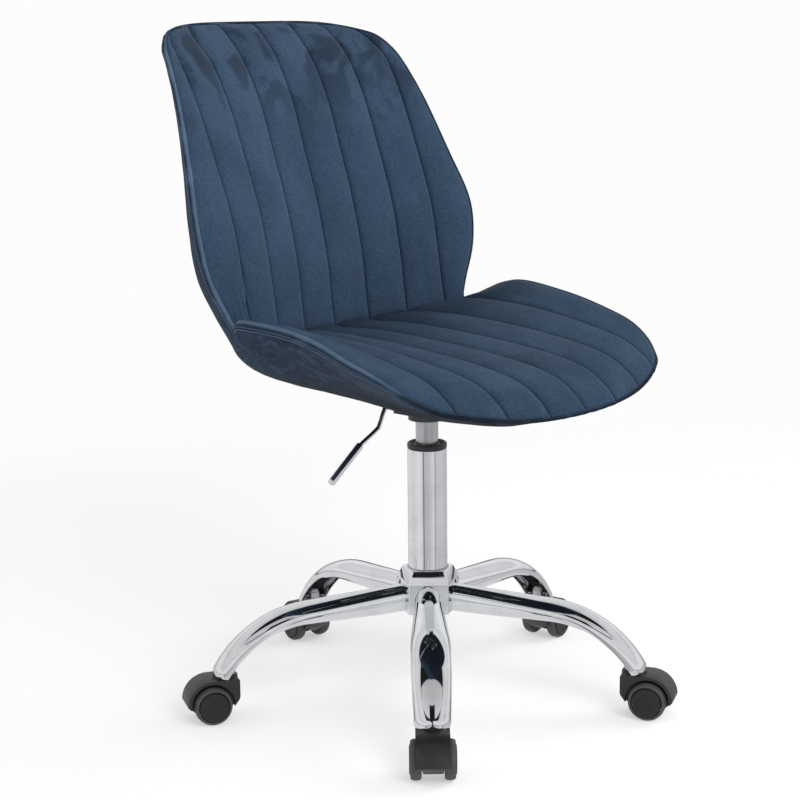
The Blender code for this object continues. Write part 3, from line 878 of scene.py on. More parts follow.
@dataclass
class StarBase:
    """The pressed five-legged base with its pentagonal hub."""

    flat_radius: float = 0.0335
    bore: float = 0.0246
    bottom: float = 0.112
    shoulder: float = 0.151
    top: float = 0.166
    top_scale: float = 0.79
    root_ridge: float = 0.1445
    slope: float = math.radians(4.5)
    straight_to: float = 0.158
    bend_radius: float = 0.150
    end_slope: float = math.radians(60.5)
    end_height: float = 0.059
    wall: float = 0.0020
    lip: float = 0.0008
    hub_edge: float = 0.0016

    def build(self) -> None:
        """Build the hub, the legs and the castor sleeves."""
        self.hub()
        for number in range(1, LEG_COUNT + 1):
            turn = Matrix.Translation(LIFT) @ Matrix.Rotation(leg_angle(number), 4, "Z")
            leg = link_mesh(f"pressed_leg_{number}", self.leg_mesh(number), turn)
            modify(leg, "SOLIDIFY", thickness=self.wall, offset=-1)
            modify(leg, "BEVEL", width=self.lip, segments=3, limit_method="ANGLE", angle_limit=math.radians(50))
            shade(bake(leg).data, 40)
            finish_piece(leg, "chrome", "base", [f"leg_{number}"])
            self.sleeve(number, turn)

    def hub(self) -> None:
        """The hub: a bevelled pentagonal block with a bore, and the seam of the weld round the tube."""
        corner = self.flat_radius / math.cos(math.pi / LEG_COUNT)
        levels = ((self.bottom, 0.985), (self.bottom + 0.002, 1.0), (self.shoulder, 1.0), (self.top, self.top_scale))
        turns = [leg_angle(side + 1.5) for side in range(LEG_COUNT)]
        bm = bmesh.new()
        stack_rings(bm, [[bm.verts.new((corner * scale * math.cos(turn), corner * scale * math.sin(turn), height))
                          for turn in turns] for height, scale in levels])
        hub = link_mesh("cast_hub", mesh_from("cast_hub", bm))
        modify(hub, "BEVEL", width=self.hub_edge, segments=5, limit_method="ANGLE", angle_limit=math.radians(20))
        tool = cut_round(hub, self.bore, 0.2, Matrix.Translation((0, 0, self.bottom)))
        shade(bake(hub).data, 30)
        bpy.data.objects.remove(tool)
        finish_piece(hub, "chrome", "base", ["base_hub"])
        edge, low, high = self.bore + 0.0016, self.top - 0.0005, self.top + 0.0012
        ring = rounded(((self.bore, low), (edge, low), (edge, high), (self.bore, high)), 0.0005, closed=True)
        finish_piece(link_mesh("hub_seam", turned_mesh("hub_seam", ring, closed=True)), "zinc", "base")

    def ridge(self, at: float) -> tuple[float, float, float]:
        """The leg's ridge line.

        Args:
            at: Where on it, from 0 at the hub over 3 and 8 at the bend's ends to 9 at the castor.

        Returns:
            Its radius, height and slope there.
        """
        start = self.flat_radius - 0.0012
        fall = math.tan(self.slope)
        if at <= 3:
            radius = start + (self.straight_to - start) * at / 3
            return radius, self.root_ridge - (radius - start) * fall, self.slope
        height = self.root_ridge - (self.straight_to - start) * fall
        slope = self.slope + (self.end_slope - self.slope) * (min(at, 8.0) - 3) / 5
        radius = self.straight_to + self.bend_radius * (math.sin(slope) - math.sin(self.slope))
        height -= self.bend_radius * (math.cos(self.slope) - math.cos(slope))
        if at > 8:
            drop = (height - self.end_height) * (at - 8)
            radius, height = radius + drop / math.tan(slope), height - drop
        return radius, height, slope

    def leg_mesh(self, number: int, steps: int = 72, sides: int = 20) -> bpy.types.Mesh:
        """The leg's outer skin, nearly an oval tube at the hub and an open channel at the castor.

        Args:
            number: The leg's number, for the mesh's name.
            steps: Sections along the leg.
            sides: Points on each half of a section.

        Returns:
            The mesh, before its wall is made.
        """
        rows = []
        for step in range(steps + 1):
            at = 9 * step / steps
            share = at / 9
            radius, height, slope = self.ridge(at)
            width = eased(0.0315, 0.0430, share / 0.42) - eased(0, 0.0055, (share - 0.55) / 0.45)
            depth = eased(0.0300, 0.0145, share / 0.58)
            curl = eased(0.86, 0.0, (share - 0.10) / 0.44)
            lean = (slope + mixed(0, math.pi / 2 - self.end_slope, (share - 0.7) / 0.3)) * mixed(0, 1, at)
            down = Vector((-math.sin(lean), 0, -math.cos(lean)))
            crown = depth * eased(0.50, 0.86, (share - 0.15) / 0.5)
            row = []
            for side in range(-sides, sides + 1):
                sign, reach = (1 if side > 0 else -1), abs(side) / sides
                if reach <= 0.6:
                    angle = reach / 0.6 * math.pi / 2
                    across, below = math.sin(angle), crown * (1 - math.cos(angle))
                else:
                    angle = (reach - 0.6) / 0.4 * math.pi / 2
                    across, below = 1 - curl * (1 - math.cos(angle)), crown + (depth - crown) * math.sin(angle)
                row.append(Vector((radius, sign * across * width / 2, height)) + down * below)
            rows.append([tuple(point) for point in row])
        return grid_mesh(f"pressed_leg_{number}", np.array(rows))

    def sleeve(self, number: int, turn: Matrix) -> None:
        """The sleeve that takes a castor's stem, with its bracket inside the leg's open end.

        Args:
            number: The leg's number.
            turn: The leg's place.
        """
        at = turn @ Matrix.Translation((PIVOT_RADIUS, 0, 0))
        low = self.end_height + 0.0008
        profile = rounded(((0.0058, 0.0700), (0.0070, 0.0700), (0.0070, low + 0.002), (0.0105, low + 0.002),
                           (0.0105, low), (0.0058, low)), 0.0005, 3, True)
        sleeve = link_mesh(f"stem_sleeve_{number}", turned_mesh(f"stem_sleeve_{number}", profile, 40, True), at)
        finish_piece(sleeve, "zinc", "base", [f"castor_socket_{number}"])


# --- castors ------------------------------------------------------------------------------


@dataclass
class Castor:
    """A twin-wheel castor with its hood, stem and two wheels."""

    trail: float = 0.0221
    inner: float = 0.0125
    outer: float = 0.0272
    disc: float = 0.0188
    hood_radius: float = 0.0307
    well: float = 0.0268
    well_end: float = 0.0300
    half_width: float = 0.0195
    web_half: float = 0.0118
    top: float = 0.0540
    face: float = -0.0115
    stem_radius: float = 0.0054
    stem_foot: float = 0.0330
    stem_top: float = 0.0725
    axle_height: float = 0.0232

    def build(self) -> None:
        """Build the meshes once and place five castors."""
        low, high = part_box("castor_axle_1")
        self.axle_height = (low.z + high.z) / 2
        meshes = {"twin_hood": self.hood_mesh(), "hood_neck": self.neck_mesh(), "pintle": self.stem_mesh(),
                  "wheel_disc": self.disc_mesh(), "wheel_tyre": self.tread_mesh(), "hub_cap": self.cap_mesh()}
        for number in range(1, LEG_COUNT + 1):
            self.place(number, meshes)

    def place(self, number: int, meshes: dict[str, bpy.types.Mesh]) -> None:
        """Put one castor under its leg.

        Args:
            number: The leg's number.
            meshes: The castor's meshes by the names of their pieces.
        """
        at = (Matrix.Translation(LIFT) @ Matrix.Rotation(leg_angle(number), 4, "Z")
              @ Matrix.Translation((PIVOT_RADIUS, 0, 0)))
        for name, finish, nodes in (("twin_hood", "hood", [f"castor_hood_{number}"]), ("hood_neck", "hood", []),
                                    ("pintle", "zinc", [f"castor_stem_{number}"])):
            finish_piece(link_mesh(f"{name}_{number}", meshes[name], at), finish, f"castor_{number}", nodes)
        for side in Side:
            wheel = at @ Matrix.Translation((self.trail, 0, self.axle_height)) @ Matrix.Rotation(
                math.radians(-90 * side.value), 4, "X")
            label = f"{number}_{side.word}"
            for name, finish, nodes in (("wheel_disc", "disc", [f"wheel_core_{label}"]),
                                        ("wheel_tyre", "tread", [f"wheel_tread_{label}"]), ("hub_cap", "disc", [])):
                finish_piece(link_mesh(f"{name}_{label}", meshes[name], wheel), finish, f"wheel_{label}", nodes)

    def hood_mesh(self) -> bpy.types.Mesh:
        """The hood: a block with a round back, cut out for the two wheels."""
        turns = np.radians(np.linspace(1, 92, 27)).tolist()
        outline = [(self.trail + self.hood_radius * math.cos(turn),
                    self.axle_height + self.hood_radius * math.sin(turn)) for turn in turns]
        corners = [outline[-1], (self.face, self.top), (self.face, 0.0295), (-0.0030, 0.0180),
                   (self.trail - 0.016, 0.0130), (self.trail + 0.020, 0.0130), outline[0]]
        outline += rounded(corners, 0.003)[1:-1]
        bm = bmesh.new()
        face = bm.faces.new([bm.verts.new((trail, -self.half_width, height)) for trail, height in outline])
        grown = bmesh.ops.extrude_face_region(bm, geom=[face])["geom"]
        bmesh.ops.translate(bm, vec=(0, 2 * self.half_width, 0),
                            verts=[vertex for vertex in grown if isinstance(vertex, bmesh.types.BMVert)])
        hood = link_mesh("hood_blank", mesh_from("hood_blank", bm), Matrix.Identity(4))
        spare = [hood]
        for side in Side:
            middle = side.value * (self.web_half + self.well_end) / 2
            at = Matrix.Translation((self.trail, middle, self.axle_height)) @ Matrix.Rotation(math.pi / 2, 4, "X")
            spare.append(cut_round(hood, self.well, self.well_end - self.web_half, at))
        modify(hood, "BEVEL", width=0.0009, segments=3, limit_method="ANGLE", angle_limit=math.radians(40))
        mesh = shade(apply_modifiers(hood, "twin_hood"))
        for piece in spare:
            bpy.data.objects.remove(piece)
        return mesh

    def neck_mesh(self) -> bpy.types.Mesh:
        """The round neck on top of the hood."""
        return turned_mesh("hood_neck", rounded(((0.0058, 0.0562), (0.0120, 0.0562), (0.0128, 0.0538), (0.0128, 0.0500),
                                                 (0.0058, 0.0500)), 0.0008, 4, True), 56, True)

    def stem_mesh(self) -> bpy.types.Mesh:
        """The stem with its shoulder."""
        profile = ((0, self.stem_top), (self.stem_radius, self.stem_top), (self.stem_radius, 0.0585),
                   (0.0092, 0.0585), (0.0092, 0.0563), (self.stem_radius, 0.0563), (self.stem_radius, self.stem_foot),
                   (0, self.stem_foot))
        return turned_mesh("pintle", rounded(profile, 0.0005, 3), 40)

    def disc_mesh(self) -> bpy.types.Mesh:
        """The wheel's dished disc, with a raised rim and shallow steps."""
        edge, face, back, bore = self.disc, self.outer, self.inner + 0.0004, 0.0035
        profile = ((0, face - 0.0012), (edge - 0.0066, face - 0.0010), (edge - 0.0046, face - 0.0003),
                   (edge - 0.0030, face - 0.0002), (edge - 0.0008, face - 0.0016), (edge - 0.0002, face - 0.0028),
                   (edge - 0.0002, back), (bore, back), (bore, 0.0216), (0, 0.0216))
        return turned_mesh("wheel_disc", rounded(profile, 0.0007, 4), 80)

    def cap_mesh(self) -> bpy.types.Mesh:
        """The flush cap over the axle's end."""
        face = self.outer - 0.0011
        return turned_mesh("hub_cap", rounded(((0, face + 0.0006), (0.0042, face + 0.0004), (0.0050, face - 0.0003),
                                               (0, face - 0.0003)), 0.0004, 3), 48)

    def tread_mesh(self) -> bpy.types.Mesh:
        """The soft tread with its rounded shoulders."""
        radius, bore, dome = self.axle_height, self.disc + 0.0002, self.outer - 0.0022
        profile = ((bore, dome + 0.0008), (radius - 0.0016, dome + 0.0006), (radius, dome - 0.0030),
                   (radius, self.inner + 0.0034), (radius - 0.0018, self.inner + 0.0006), (bore, self.inner + 0.0006))
        return turned_mesh("wheel_tyre", rounded(profile, 0.0016, 5, True), 96, True)


# --- the gas lift and lever ---------------------------------------------------------------


@dataclass
class GasLift:
    """The column: tube, collar, cylinder and rod."""

    tube: float = 0.0245
    bore: float = 0.0230
    cylinder: float = 0.0140

    def build(self) -> None:
        """Build the column's pieces."""
        outer = ((self.bore, 0.3180), (self.tube, 0.3180), (self.tube, 0.1060), (0.0054, 0.1060), (0.0054, 0.1100),
                 (self.bore, 0.1100))
        self.ring("column_tube", outer, 0.0009, "chrome", "base", ["outer_tube"])
        edge = self.tube + 0.0001
        collar = ((0.0143, 0.3222), (0.0205, 0.3222), (0.0213, 0.3250), (edge - 0.0008, 0.3250), (edge, 0.3236),
                  (edge, 0.3184), (self.bore - 0.0003, 0.3184), (self.bore - 0.0003, 0.2500), (0.0143, 0.2500))
        self.ring("column_collar", collar, 0.0006, "collar", "base", ["guide_bush"])
        shell = ((0.0038, 0.3690), (self.cylinder, 0.3690), (self.cylinder, 0.1680), (0.0053, 0.1680), (0.0053, 0.1730),
                 (0.0120, 0.1730), (0.0120, 0.3630), (0.0038, 0.3630))
        self.ring("lift_cylinder", shell, 0.0008, "piston", "seat", ["gas_cylinder"])
        rod = ((0, 0.2800), (0.0113, 0.2800), (0.0113, 0.2660), (0.0050, 0.2660), (0.0050, 0.1225), (0.0090, 0.1225),
               (0.0090, 0.1173), (0.0050, 0.1173), (0.0050, 0.1000), (0, 0.1000))
        piece = link_mesh("lift_piston", turned_mesh("lift_piston", rounded(rod, 0.0006, 3), 48))
        finish_piece(piece, "piston", "lift_rod", ["piston_rod"])
        wiper = ((0.0142, 0.3216), (0.0170, 0.3216), (0.0170, 0.3234), (0.0142, 0.3234))
        self.ring("wiper_ring", wiper, 0.0006, "collar", "base", [])

    def ring(self, name: str, profile: Profile, radius: float, finish: str, body: str, nodes: Sequence[str]) -> None:
        """Turn a hollow piece of the column.

        Args:
            name: The piece's name.
            profile: Its section as a loop of (radius, height).
            radius: How much its corners are rounded.
            finish: A key of FINISHES.
            body: The body that it rides on.
            nodes: The frame's nodes that it replaces.
        """
        piece = link_mesh(name, turned_mesh(name, rounded(profile, radius, 4, True), 96, True))
        finish_piece(piece, finish, body, nodes)


@dataclass
class HeightLever:
    """The bent release lever and its grip."""

    rod_radius: float = 0.0027
    grip_radius: float = 0.0047
    path: tuple = ((-0.0040, 0.3795), (-0.0370, 0.3795), (-0.0720, 0.3795), (-0.0785, 0.3755), (-0.0865, 0.3605),
                   (-0.0925, 0.3550), (-0.1200, 0.3420), (-0.1240, 0.3390))
    grip_from: tuple = (-0.1200, 0.3420)
    grip_to: tuple = (-0.1730, 0.3040)

    def build(self) -> None:
        """Build the rod and its grip."""
        path = smooth_path(self.path)
        rod = link_mesh("release_rod", swept_mesh("release_rod", path, self.rod_radius))
        finish_piece(rod, "chrome_rod", "lever", ["lever_rod"])
        start, end = (Vector((x, 0, z)) for x, z in (self.grip_from, self.grip_to))
        length, radius = (end - start).length, self.grip_radius
        profile = [(0.0030, 0.0), (radius - 0.0010, 0.0), (radius, 0.0012), (radius, length - radius)]
        profile += [(radius * math.cos(turn), length - radius + radius * math.sin(turn))
                    for turn in (math.pi / 2 * step / 8 for step in range(1, 9))]
        profile[-1] = (0.0, length)
        turn = Vector((0, 0, 1)).rotation_difference(end - start).to_matrix().to_4x4()
        at = Matrix.Translation(LIFT + start) @ turn
        grip = link_mesh("release_grip", turned_mesh("release_grip", profile, 40), at)
        finish_piece(grip, "chrome_rod", "lever", ["lever_grip"])


# --- the upholstery -----------------------------------------------------------------------

CHANNELS = 8


class Station(NamedTuple):
    """A section across the bucket, from the front edge to the top edge."""

    face_y: float
    face_z: float
    rim_x: float
    rim_y: float
    rim_z: float
    under_y: float
    under_z: float
    power: float
    bulge: float
    swell: float


STATIONS = (
    Station(-0.243, 0.396, 0.207, -0.196, 0.422, -0.240, 0.391, 2.4, 0.0, 3.3),
    Station(-0.228, 0.412, 0.229, -0.166, 0.441, -0.226, 0.390, 2.4, 0.0, 3.3),
    Station(-0.200, 0.429, 0.239, -0.134, 0.458, -0.195, 0.389, 2.3, 0.0, 3.3),
    Station(-0.155, 0.440, 0.241, -0.098, 0.470, -0.150, 0.387, 2.3, 0.0, 3.3),
    Station(-0.095, 0.447, 0.237, -0.055, 0.483, -0.092, 0.387, 2.3, 0.0, 3.3),
    Station(-0.030, 0.452, 0.234, -0.010, 0.492, -0.030, 0.388, 2.3, 0.0, 3.3),
    Station(0.035, 0.455, 0.236, 0.034, 0.497, 0.035, 0.389, 2.3, 0.0, 3.4),
    Station(0.090, 0.455, 0.237, 0.069, 0.496, 0.095, 0.392, 2.3, 0.2, 3.6),
    Station(0.130, 0.453, 0.225, 0.096, 0.482, 0.150, 0.405, 2.2, 0.5, 4.2),
    Station(0.153, 0.455, 0.203, 0.112, 0.468, 0.190, 0.437, 2.1, 0.8, 5.0),
    Station(0.159, 0.490, 0.214, 0.119, 0.494, 0.206, 0.480, 2.0, 1.2, 6.5),
    Station(0.165, 0.540, 0.237, 0.125, 0.542, 0.208, 0.532, 2.0, 1.5, 7.5),
    Station(0.181, 0.610, 0.243, 0.135, 0.597, 0.221, 0.604, 2.0, 1.5, 6.5),
    Station(0.201, 0.672, 0.230, 0.160, 0.660, 0.240, 0.668, 1.9, 1.1, 5.5),
    Station(0.222, 0.737, 0.215, 0.191, 0.732, 0.261, 0.732, 1.9, 0.5, 4.8),
    Station(0.250, 0.790, 0.203, 0.220, 0.783, 0.283, 0.784, 2.3, 0.2, 4.5),
    Station(0.276, 0.820, 0.195, 0.237, 0.803, 0.300, 0.814, 4.2, 0.0, 4.5),
    Station(0.292, 0.832, 0.184, 0.249, 0.815, 0.304, 0.828, 4.5, 0.0, 4.5),
)


@dataclass
class Net:
    """A grid of points on one part of the bucket, with what later steps need to know of it."""

    at: np.ndarray
    across: np.ndarray
    points: np.ndarray

    def normals(self) -> np.ndarray:
        """Unit normals of the grid."""
        return unit(np.cross(np.gradient(self.points, axis=1), np.gradient(self.points, axis=0)))


@dataclass
class Bucket:
    """The upholstered bucket: channelled seat and back, rolled rim, piping and outer cover."""

    crease: int = 9
    channel: float = 0.0590
    flare: float = 0.0030
    third_at_most: float = 0.90
    second_at_most: float = 0.69
    rim_thickness: float = 0.0105
    row_step: float = 0.0026
    columns: int = 22
    puff: float = 0.0046
    stuffing: float = 0.50
    blown: float = 0.72
    seam_depth: float = 0.0022
    seam_width: float = 0.0012
    roll: float = 0.0026
    tuck: float = 0.08
    ripple: float = 0.00035
    piping: float = 0.00125
    cap: float = 0.0060
    slack: float = 0.016
    pressure: float = 4.0
    settled_left: float = 0.0080
    settled_right: float = 0.0080
    sag: float = 0.0045
    fold_height: float = 0.0012
    crinkle_height: float = 0.00035

    soften: float = 0.0060
    plies: float = 0.0024
    shell_trim: int = 10
    plate_under: float = 0.3820

    def __post_init__(self) -> None:
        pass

    # sections

    def rows(self, first: float, last: float, step: float) -> np.ndarray:
        """Station numbers that lie an even distance apart along the bucket.

        Args:
            first: The first station.
            last: The last station.
            step: The distance, in metres.

        Returns:
            Fractional station numbers.
        """
        dense = np.linspace(first, last, 1500)
        length = sum(0.5 * travelled(np.stack([self.read(f"{line}_y", dense), self.read(f"{line}_z", dense)], axis=1))
                     for line in ("face", "rim"))
        count = max(int(round(length[-1] / step)), 4)
        return np.interp(np.linspace(0, length[-1], count + 1), length, dense)

    def read(self, name: str, at: np.ndarray) -> np.ndarray:
        """A station value at fractional station numbers."""
        corner = self.crease if name in ("face_y", "face_z") else -1
        return read_along([getattr(station, name) for station in STATIONS], at, corner)

    def spread(self, at: np.ndarray, across: np.ndarray) -> np.ndarray:
        """How far from the middle each column runs.

        Args:
            at: Station numbers of the rows.
            across: Column positions, from 0 at one rim to 8 at the other.

        Returns:
            The x of every point, by row and column.
        """
        rim = self.read("rim_x", at)
        last = len(STATIONS) - 1
        away = np.where(at < self.crease, (self.crease - at) / self.crease, (at - self.crease) / (last - self.crease))
        pitch = self.channel + self.flare * away ** 1.5
        third = np.minimum(3 * pitch, rim * self.third_at_most)
        second = np.minimum(2 * pitch, third * self.second_at_most)
        knots = np.stack([-rim, -third, -second, -pitch, 0 * rim, pitch, second, third, rim], axis=1)
        index = np.minimum(across.astype(int), CHANNELS - 1)
        share = across - index
        return knots[:, index] * (1 - share) + knots[:, index + 1] * share

    def face(self, at: np.ndarray, across: np.ndarray) -> Net:
        """The upholstered face, before its channels."""
        x = self.spread(at, across)
        rim = self.read("rim_x", at)[:, None]
        ratio = np.abs(x) / rim
        climb = ratio ** self.read("power", at)[:, None] * (1 + self.read("bulge", at)[:, None] * (1 - ratio))
        y, z = (self.read(f"face_{axis}", at)[:, None] for axis in "yz")
        rim_y, rim_z = (self.read(f"rim_{axis}", at)[:, None] for axis in "yz")
        height = z + climb * (rim_z - z) + self.settled(at, x, ratio)
        return Net(at, across, np.stack([x, y + climb * (rim_y - y), height], axis=2))

    def settled(self, at: np.ndarray, x: np.ndarray, ratio: np.ndarray) -> np.ndarray:
        """How far the filling of the two wings has settled at their rear ends, by hand upholstery.

        Args:
            at: Station numbers of the rows.
            x: The x of every point.
            ratio: Its share of the way to the rim.

        Returns:
            The height to add.
        """
        left = self.settled_left * bell(at, 7.7, 1.0)[:, None]
        right = self.settled_right * bell(at, 7.9, 0.85)[:, None]
        return np.where(x > 0, -left, right) * ratio ** 3

    def cover(self, at: np.ndarray, across: np.ndarray) -> Net:
        """The outer cover, which ends at the rim a little behind the face."""
        x = self.spread(at, across)
        ratio = np.abs(x) / self.read("rim_x", at)[:, None]
        climb = ratio ** self.read("swell", at)[:, None]
        near, far, rim = (np.stack([self.read(f"{line}_y", at), self.read(f"{line}_z", at)], axis=1)
                          for line in ("face", "under", "rim"))
        rim += self.rim_thickness * unit(far - near)
        y, z = (far[:, axis:axis + 1] + climb * (rim - far)[:, axis:axis + 1] for axis in range(2))
        return Net(at, across, np.stack([x, y, z + self.settled(at, x, ratio)], axis=2))

    # the rim

    @staticmethod
    def ring(points: np.ndarray) -> np.ndarray:
        """The border of a grid, once round."""
        return np.concatenate([points[0], points[1:-1, -1], points[-1, ::-1], points[-2:0:-1, 0]])

    @staticmethod
    def softened(ring: np.ndarray, sigma: float, spacing: float = 0.0016) -> np.ndarray:
        """Smooth a closed line of points.

        Args:
            ring: The points.
            sigma: How far the smoothing reaches, in metres.
            spacing: The distance between the points that are smoothed.

        Returns:
            Where each point comes to lie.
        """
        closed = np.vstack([ring, ring[:1]])
        length = travelled(closed)
        count = int(length[-1] / spacing)
        spots = np.linspace(0, length[-1], count, endpoint=False)
        even = read_line(closed, length, spots)
        waves = np.fft.fftfreq(count, d=length[-1] / count)
        kept = np.exp(-2 * (np.pi * sigma * waves) ** 2)[:, None]
        smooth = np.real(np.fft.ifft(np.fft.fft(even, axis=0) * kept, axis=0))
        return read_line(smooth, spots, length[:-1], length[-2] + 0.001)

    def shift_border(self, net: Net, moved: np.ndarray, reach: float = 0.035) -> None:
        """Carry the border's smoothing into the grid.

        Args:
            net: The grid, which is changed.
            moved: How far each border point moves, in the order of ring().
            reach: How far inward the move is felt.
        """
        rows, columns = net.points.shape[:2]
        front, right = moved[:columns], moved[columns:columns + rows - 2]
        top, left = moved[columns + rows - 2:2 * columns + rows - 2][::-1], moved[2 * columns + rows - 2:][::-1]
        right, left = np.vstack([front[-1:], right, top[-1:]]), np.vstack([front[:1], left, top[:1]])
        points = net.points
        total, weight = np.zeros(points.shape), np.zeros(points.shape[:2] + (1,))
        for push, edge in ((front[None], points[:1]), (top[None], points[-1:]),
                           (left[:, None], points[:, :1]), (right[:, None], points[:, -1:])):
            near = np.clip(1 - np.linalg.norm(points - edge, axis=2, keepdims=True) / reach, 0, 1) ** 2
            total += near ** 2 * push
            weight += near
        net.points = points + total / np.maximum(weight, 1.0)

    # channels

    def seams(self, net: Net) -> tuple[np.ndarray, np.ndarray]:
        """Where each point lies in its channel.

        Args:
            net: A face grid.

        Returns:
            The share of the way across the channel, and the signed distance to the nearer seam.
        """
        inside = net.across[None] - np.minimum(net.across.astype(int), CHANNELS - 1)[None]
        x = self.spread(net.at, net.across)
        knots = self.spread(net.at, np.arange(CHANNELS + 1, dtype=float))
        gaps = x[:, :, None] - knots[:, None, 1:-1]
        nearest = np.argmin(np.abs(gaps), axis=2)
        distance = np.take_along_axis(gaps, nearest[:, :, None], axis=2)[:, :, 0]
        return inside + 0 * x, distance

    def envelope(self, net: Net, ends: tuple[float, float]) -> np.ndarray:
        """How much of the padding's height shows, falling to nothing at the grid's two ends.

        Args:
            net: A face grid.
            ends: Over what distance it rises at the first and at the last row.

        Returns:
            A share for each point.
        """
        length = travelled(net.points)
        result = np.ones(length.shape)
        for reach, distance in ((ends[0], length), (ends[1], length[-1:] - length)):
            share = np.clip(distance / reach, 0, 1)
            result *= np.sqrt(1 - (1 - share) ** 2)
        return result

    def inflate(self, span: tuple[float, float], ends: tuple[float, float], fine: Net) -> np.ndarray:
        """Blow the quilted cover up with a cloth simulation, sewn down along its seams.

        Args:
            span: The first and the last station.
            ends: As in envelope.
            fine: The fine face grid that the result is read on.

        Returns:
            How far each fine point moves.
        """
        fold, step, frames, lift = 6, 0.0075, 20, 0.0012
        coarse = self.face(self.rows(*span, step), np.arange(CHANNELS * fold + 1) / fold)
        crown = 1 - np.abs(2 * self.seams(coarse)[0] - 1) ** 2.2
        base = coarse.points + coarse.normals() * (lift * crown * self.envelope(coarse, ends))[:, :, None]
        sheet = link_mesh("quilt_sheet", grid_mesh("quilt_sheet", base), Matrix.Identity(4))
        held = np.zeros(base.shape[:2])
        held[:, ::fold] = 1.0
        held[0], held[-1] = 1.0, 1.0
        group = sheet.vertex_groups.new(name="sewn")
        group.add([int(index) for index in np.flatnonzero(held.reshape(-1))], 1.0, "REPLACE")
        cloth = sheet.modifiers.new("quilting", "CLOTH")
        for label, value in dict(quality=6, mass=0.25, tension_stiffness=18, compression_stiffness=12,
                                 shear_stiffness=6, bending_stiffness=0.25, vertex_group_mass="sewn",
                                 shrink_min=-self.slack, use_pressure=True,
                                 uniform_pressure_force=self.pressure).items():
            setattr(cloth.settings, label, value)
        cloth.settings.effector_weights.gravity = 0.0
        cloth.point_cache.frame_start, cloth.point_cache.frame_end = 1, frames
        for number in range(1, frames + 1):
            bpy.context.scene.frame_set(number)
        mesh = apply_modifiers(sheet, "quilt_result")
        moved = np.empty(len(mesh.vertices) * 3)
        mesh.vertices.foreach_get("co", moved)
        moved = moved.reshape(base.shape) - coarse.points
        bpy.context.scene.frame_set(1)
        bpy.data.objects.remove(sheet)
        bpy.data.meshes.remove(mesh)
        length = np.linalg.norm(moved, axis=2, keepdims=True)
        LOG.info("quilt from station %.0f to %.0f moves %.1f mm at most", *span, 1000 * float(length.max()))
        moved *= np.minimum(1.0, self.cap / np.maximum(length, 1e-9))
        moved[held > 0] = 0
        return self.refine(self.evened(moved), fine)

    @staticmethod
    def evened(moved: np.ndarray, reach: int = 6, width: float = 3.0, share: float = 0.82) -> np.ndarray:
        """Even out the simulation's small wrinkles along the channels.

        Args:
            moved: The grid's moves.
            reach: How many rows on each side count.
            width: How fast their weight falls off.
            share: How much of the evened moves replaces the given ones.

        Returns:
            The new moves.
        """
        steps = np.arange(-reach, reach + 1)
        weights = np.exp(-0.5 * (steps / width) ** 2)
        weights /= weights.sum()
        padded = np.concatenate([moved[:1].repeat(reach, axis=0), moved, moved[-1:].repeat(reach, axis=0)])
        even = sum(weight * padded[reach + step:reach + step + len(moved)] for step, weight in zip(steps, weights))
        return share * even + (1 - share) * moved

    @staticmethod
    def refine(moved: np.ndarray, fine: Net) -> np.ndarray:
        """Read a coarse grid's moves on a fine grid, channel by channel.

        Args:
            moved: The coarse grid's moves.
            fine: The fine grid, whose rows are evenly spaced over the same stretch.

        Returns:
            The moves on the fine grid.
        """
        fold = (moved.shape[1] - 1) // CHANNELS
        rows = np.linspace(0, moved.shape[0] - 1, fine.points.shape[0])
        tall = np.transpose([[read_along(moved[:, column, axis], rows) for axis in range(3)]
                             for column in range(moved.shape[1])], (2, 0, 1))
        result = np.zeros(fine.points.shape)
        index = np.minimum(fine.across.astype(int), CHANNELS - 1)
        for number in range(CHANNELS):
            chosen = np.flatnonzero(index == number)
            spots = (fine.across[chosen] - number) * fold
            part = tall[:, number * fold:(number + 1) * fold + 1]
            low = np.minimum(spots.astype(int), fold - 1)
            around = (np.maximum(low - 1, 0), low, low + 1, np.minimum(low + 2, fold))
            result[:, chosen] = between([part[:, column] for column in around], (spots - low)[None, :, None])
        return result

    def quilted(self, net: Net, span: tuple[float, float],
                ends: tuple[float, float]) -> tuple[np.ndarray, np.ndarray, np.ndarray]:
        """The padded and sewn face of the seat or back.

        Args:
            net: The face grid.
            span: Its first and its last station.
            ends: As in envelope.

        Returns:
            The points, and the masks of painted shade in the seams and of painted highlight beside them.
        """
        inside, distance = self.seams(net)
        normal = net.normals()
        lift = self.envelope(net, ends)
        crown = (1 - np.abs(2 * inside - 1) ** 2.6) ** 0.62 * lift
        blown = self.inflate(span, ends, net)
        stuffed = normal * (self.stuffing * self.puff * crown)[:, :, None]
        moved = self.blown * blown * lift[:, :, None] ** 0.5 + stuffed
        # Masks for painted shade along each seam and for a painted highlight on the bead beside it.
        painted_shade = bell(distance, 0, self.seam_width)
        beside = bell(distance, -2.0 * self.seam_width, 0.75 * self.seam_width)
        depth = 0.0005 * beside - self.seam_depth * bell(distance, 0, 1.5 * self.seam_width)
        return net.points + moved + normal * depth[:, :, None], painted_shade, beside

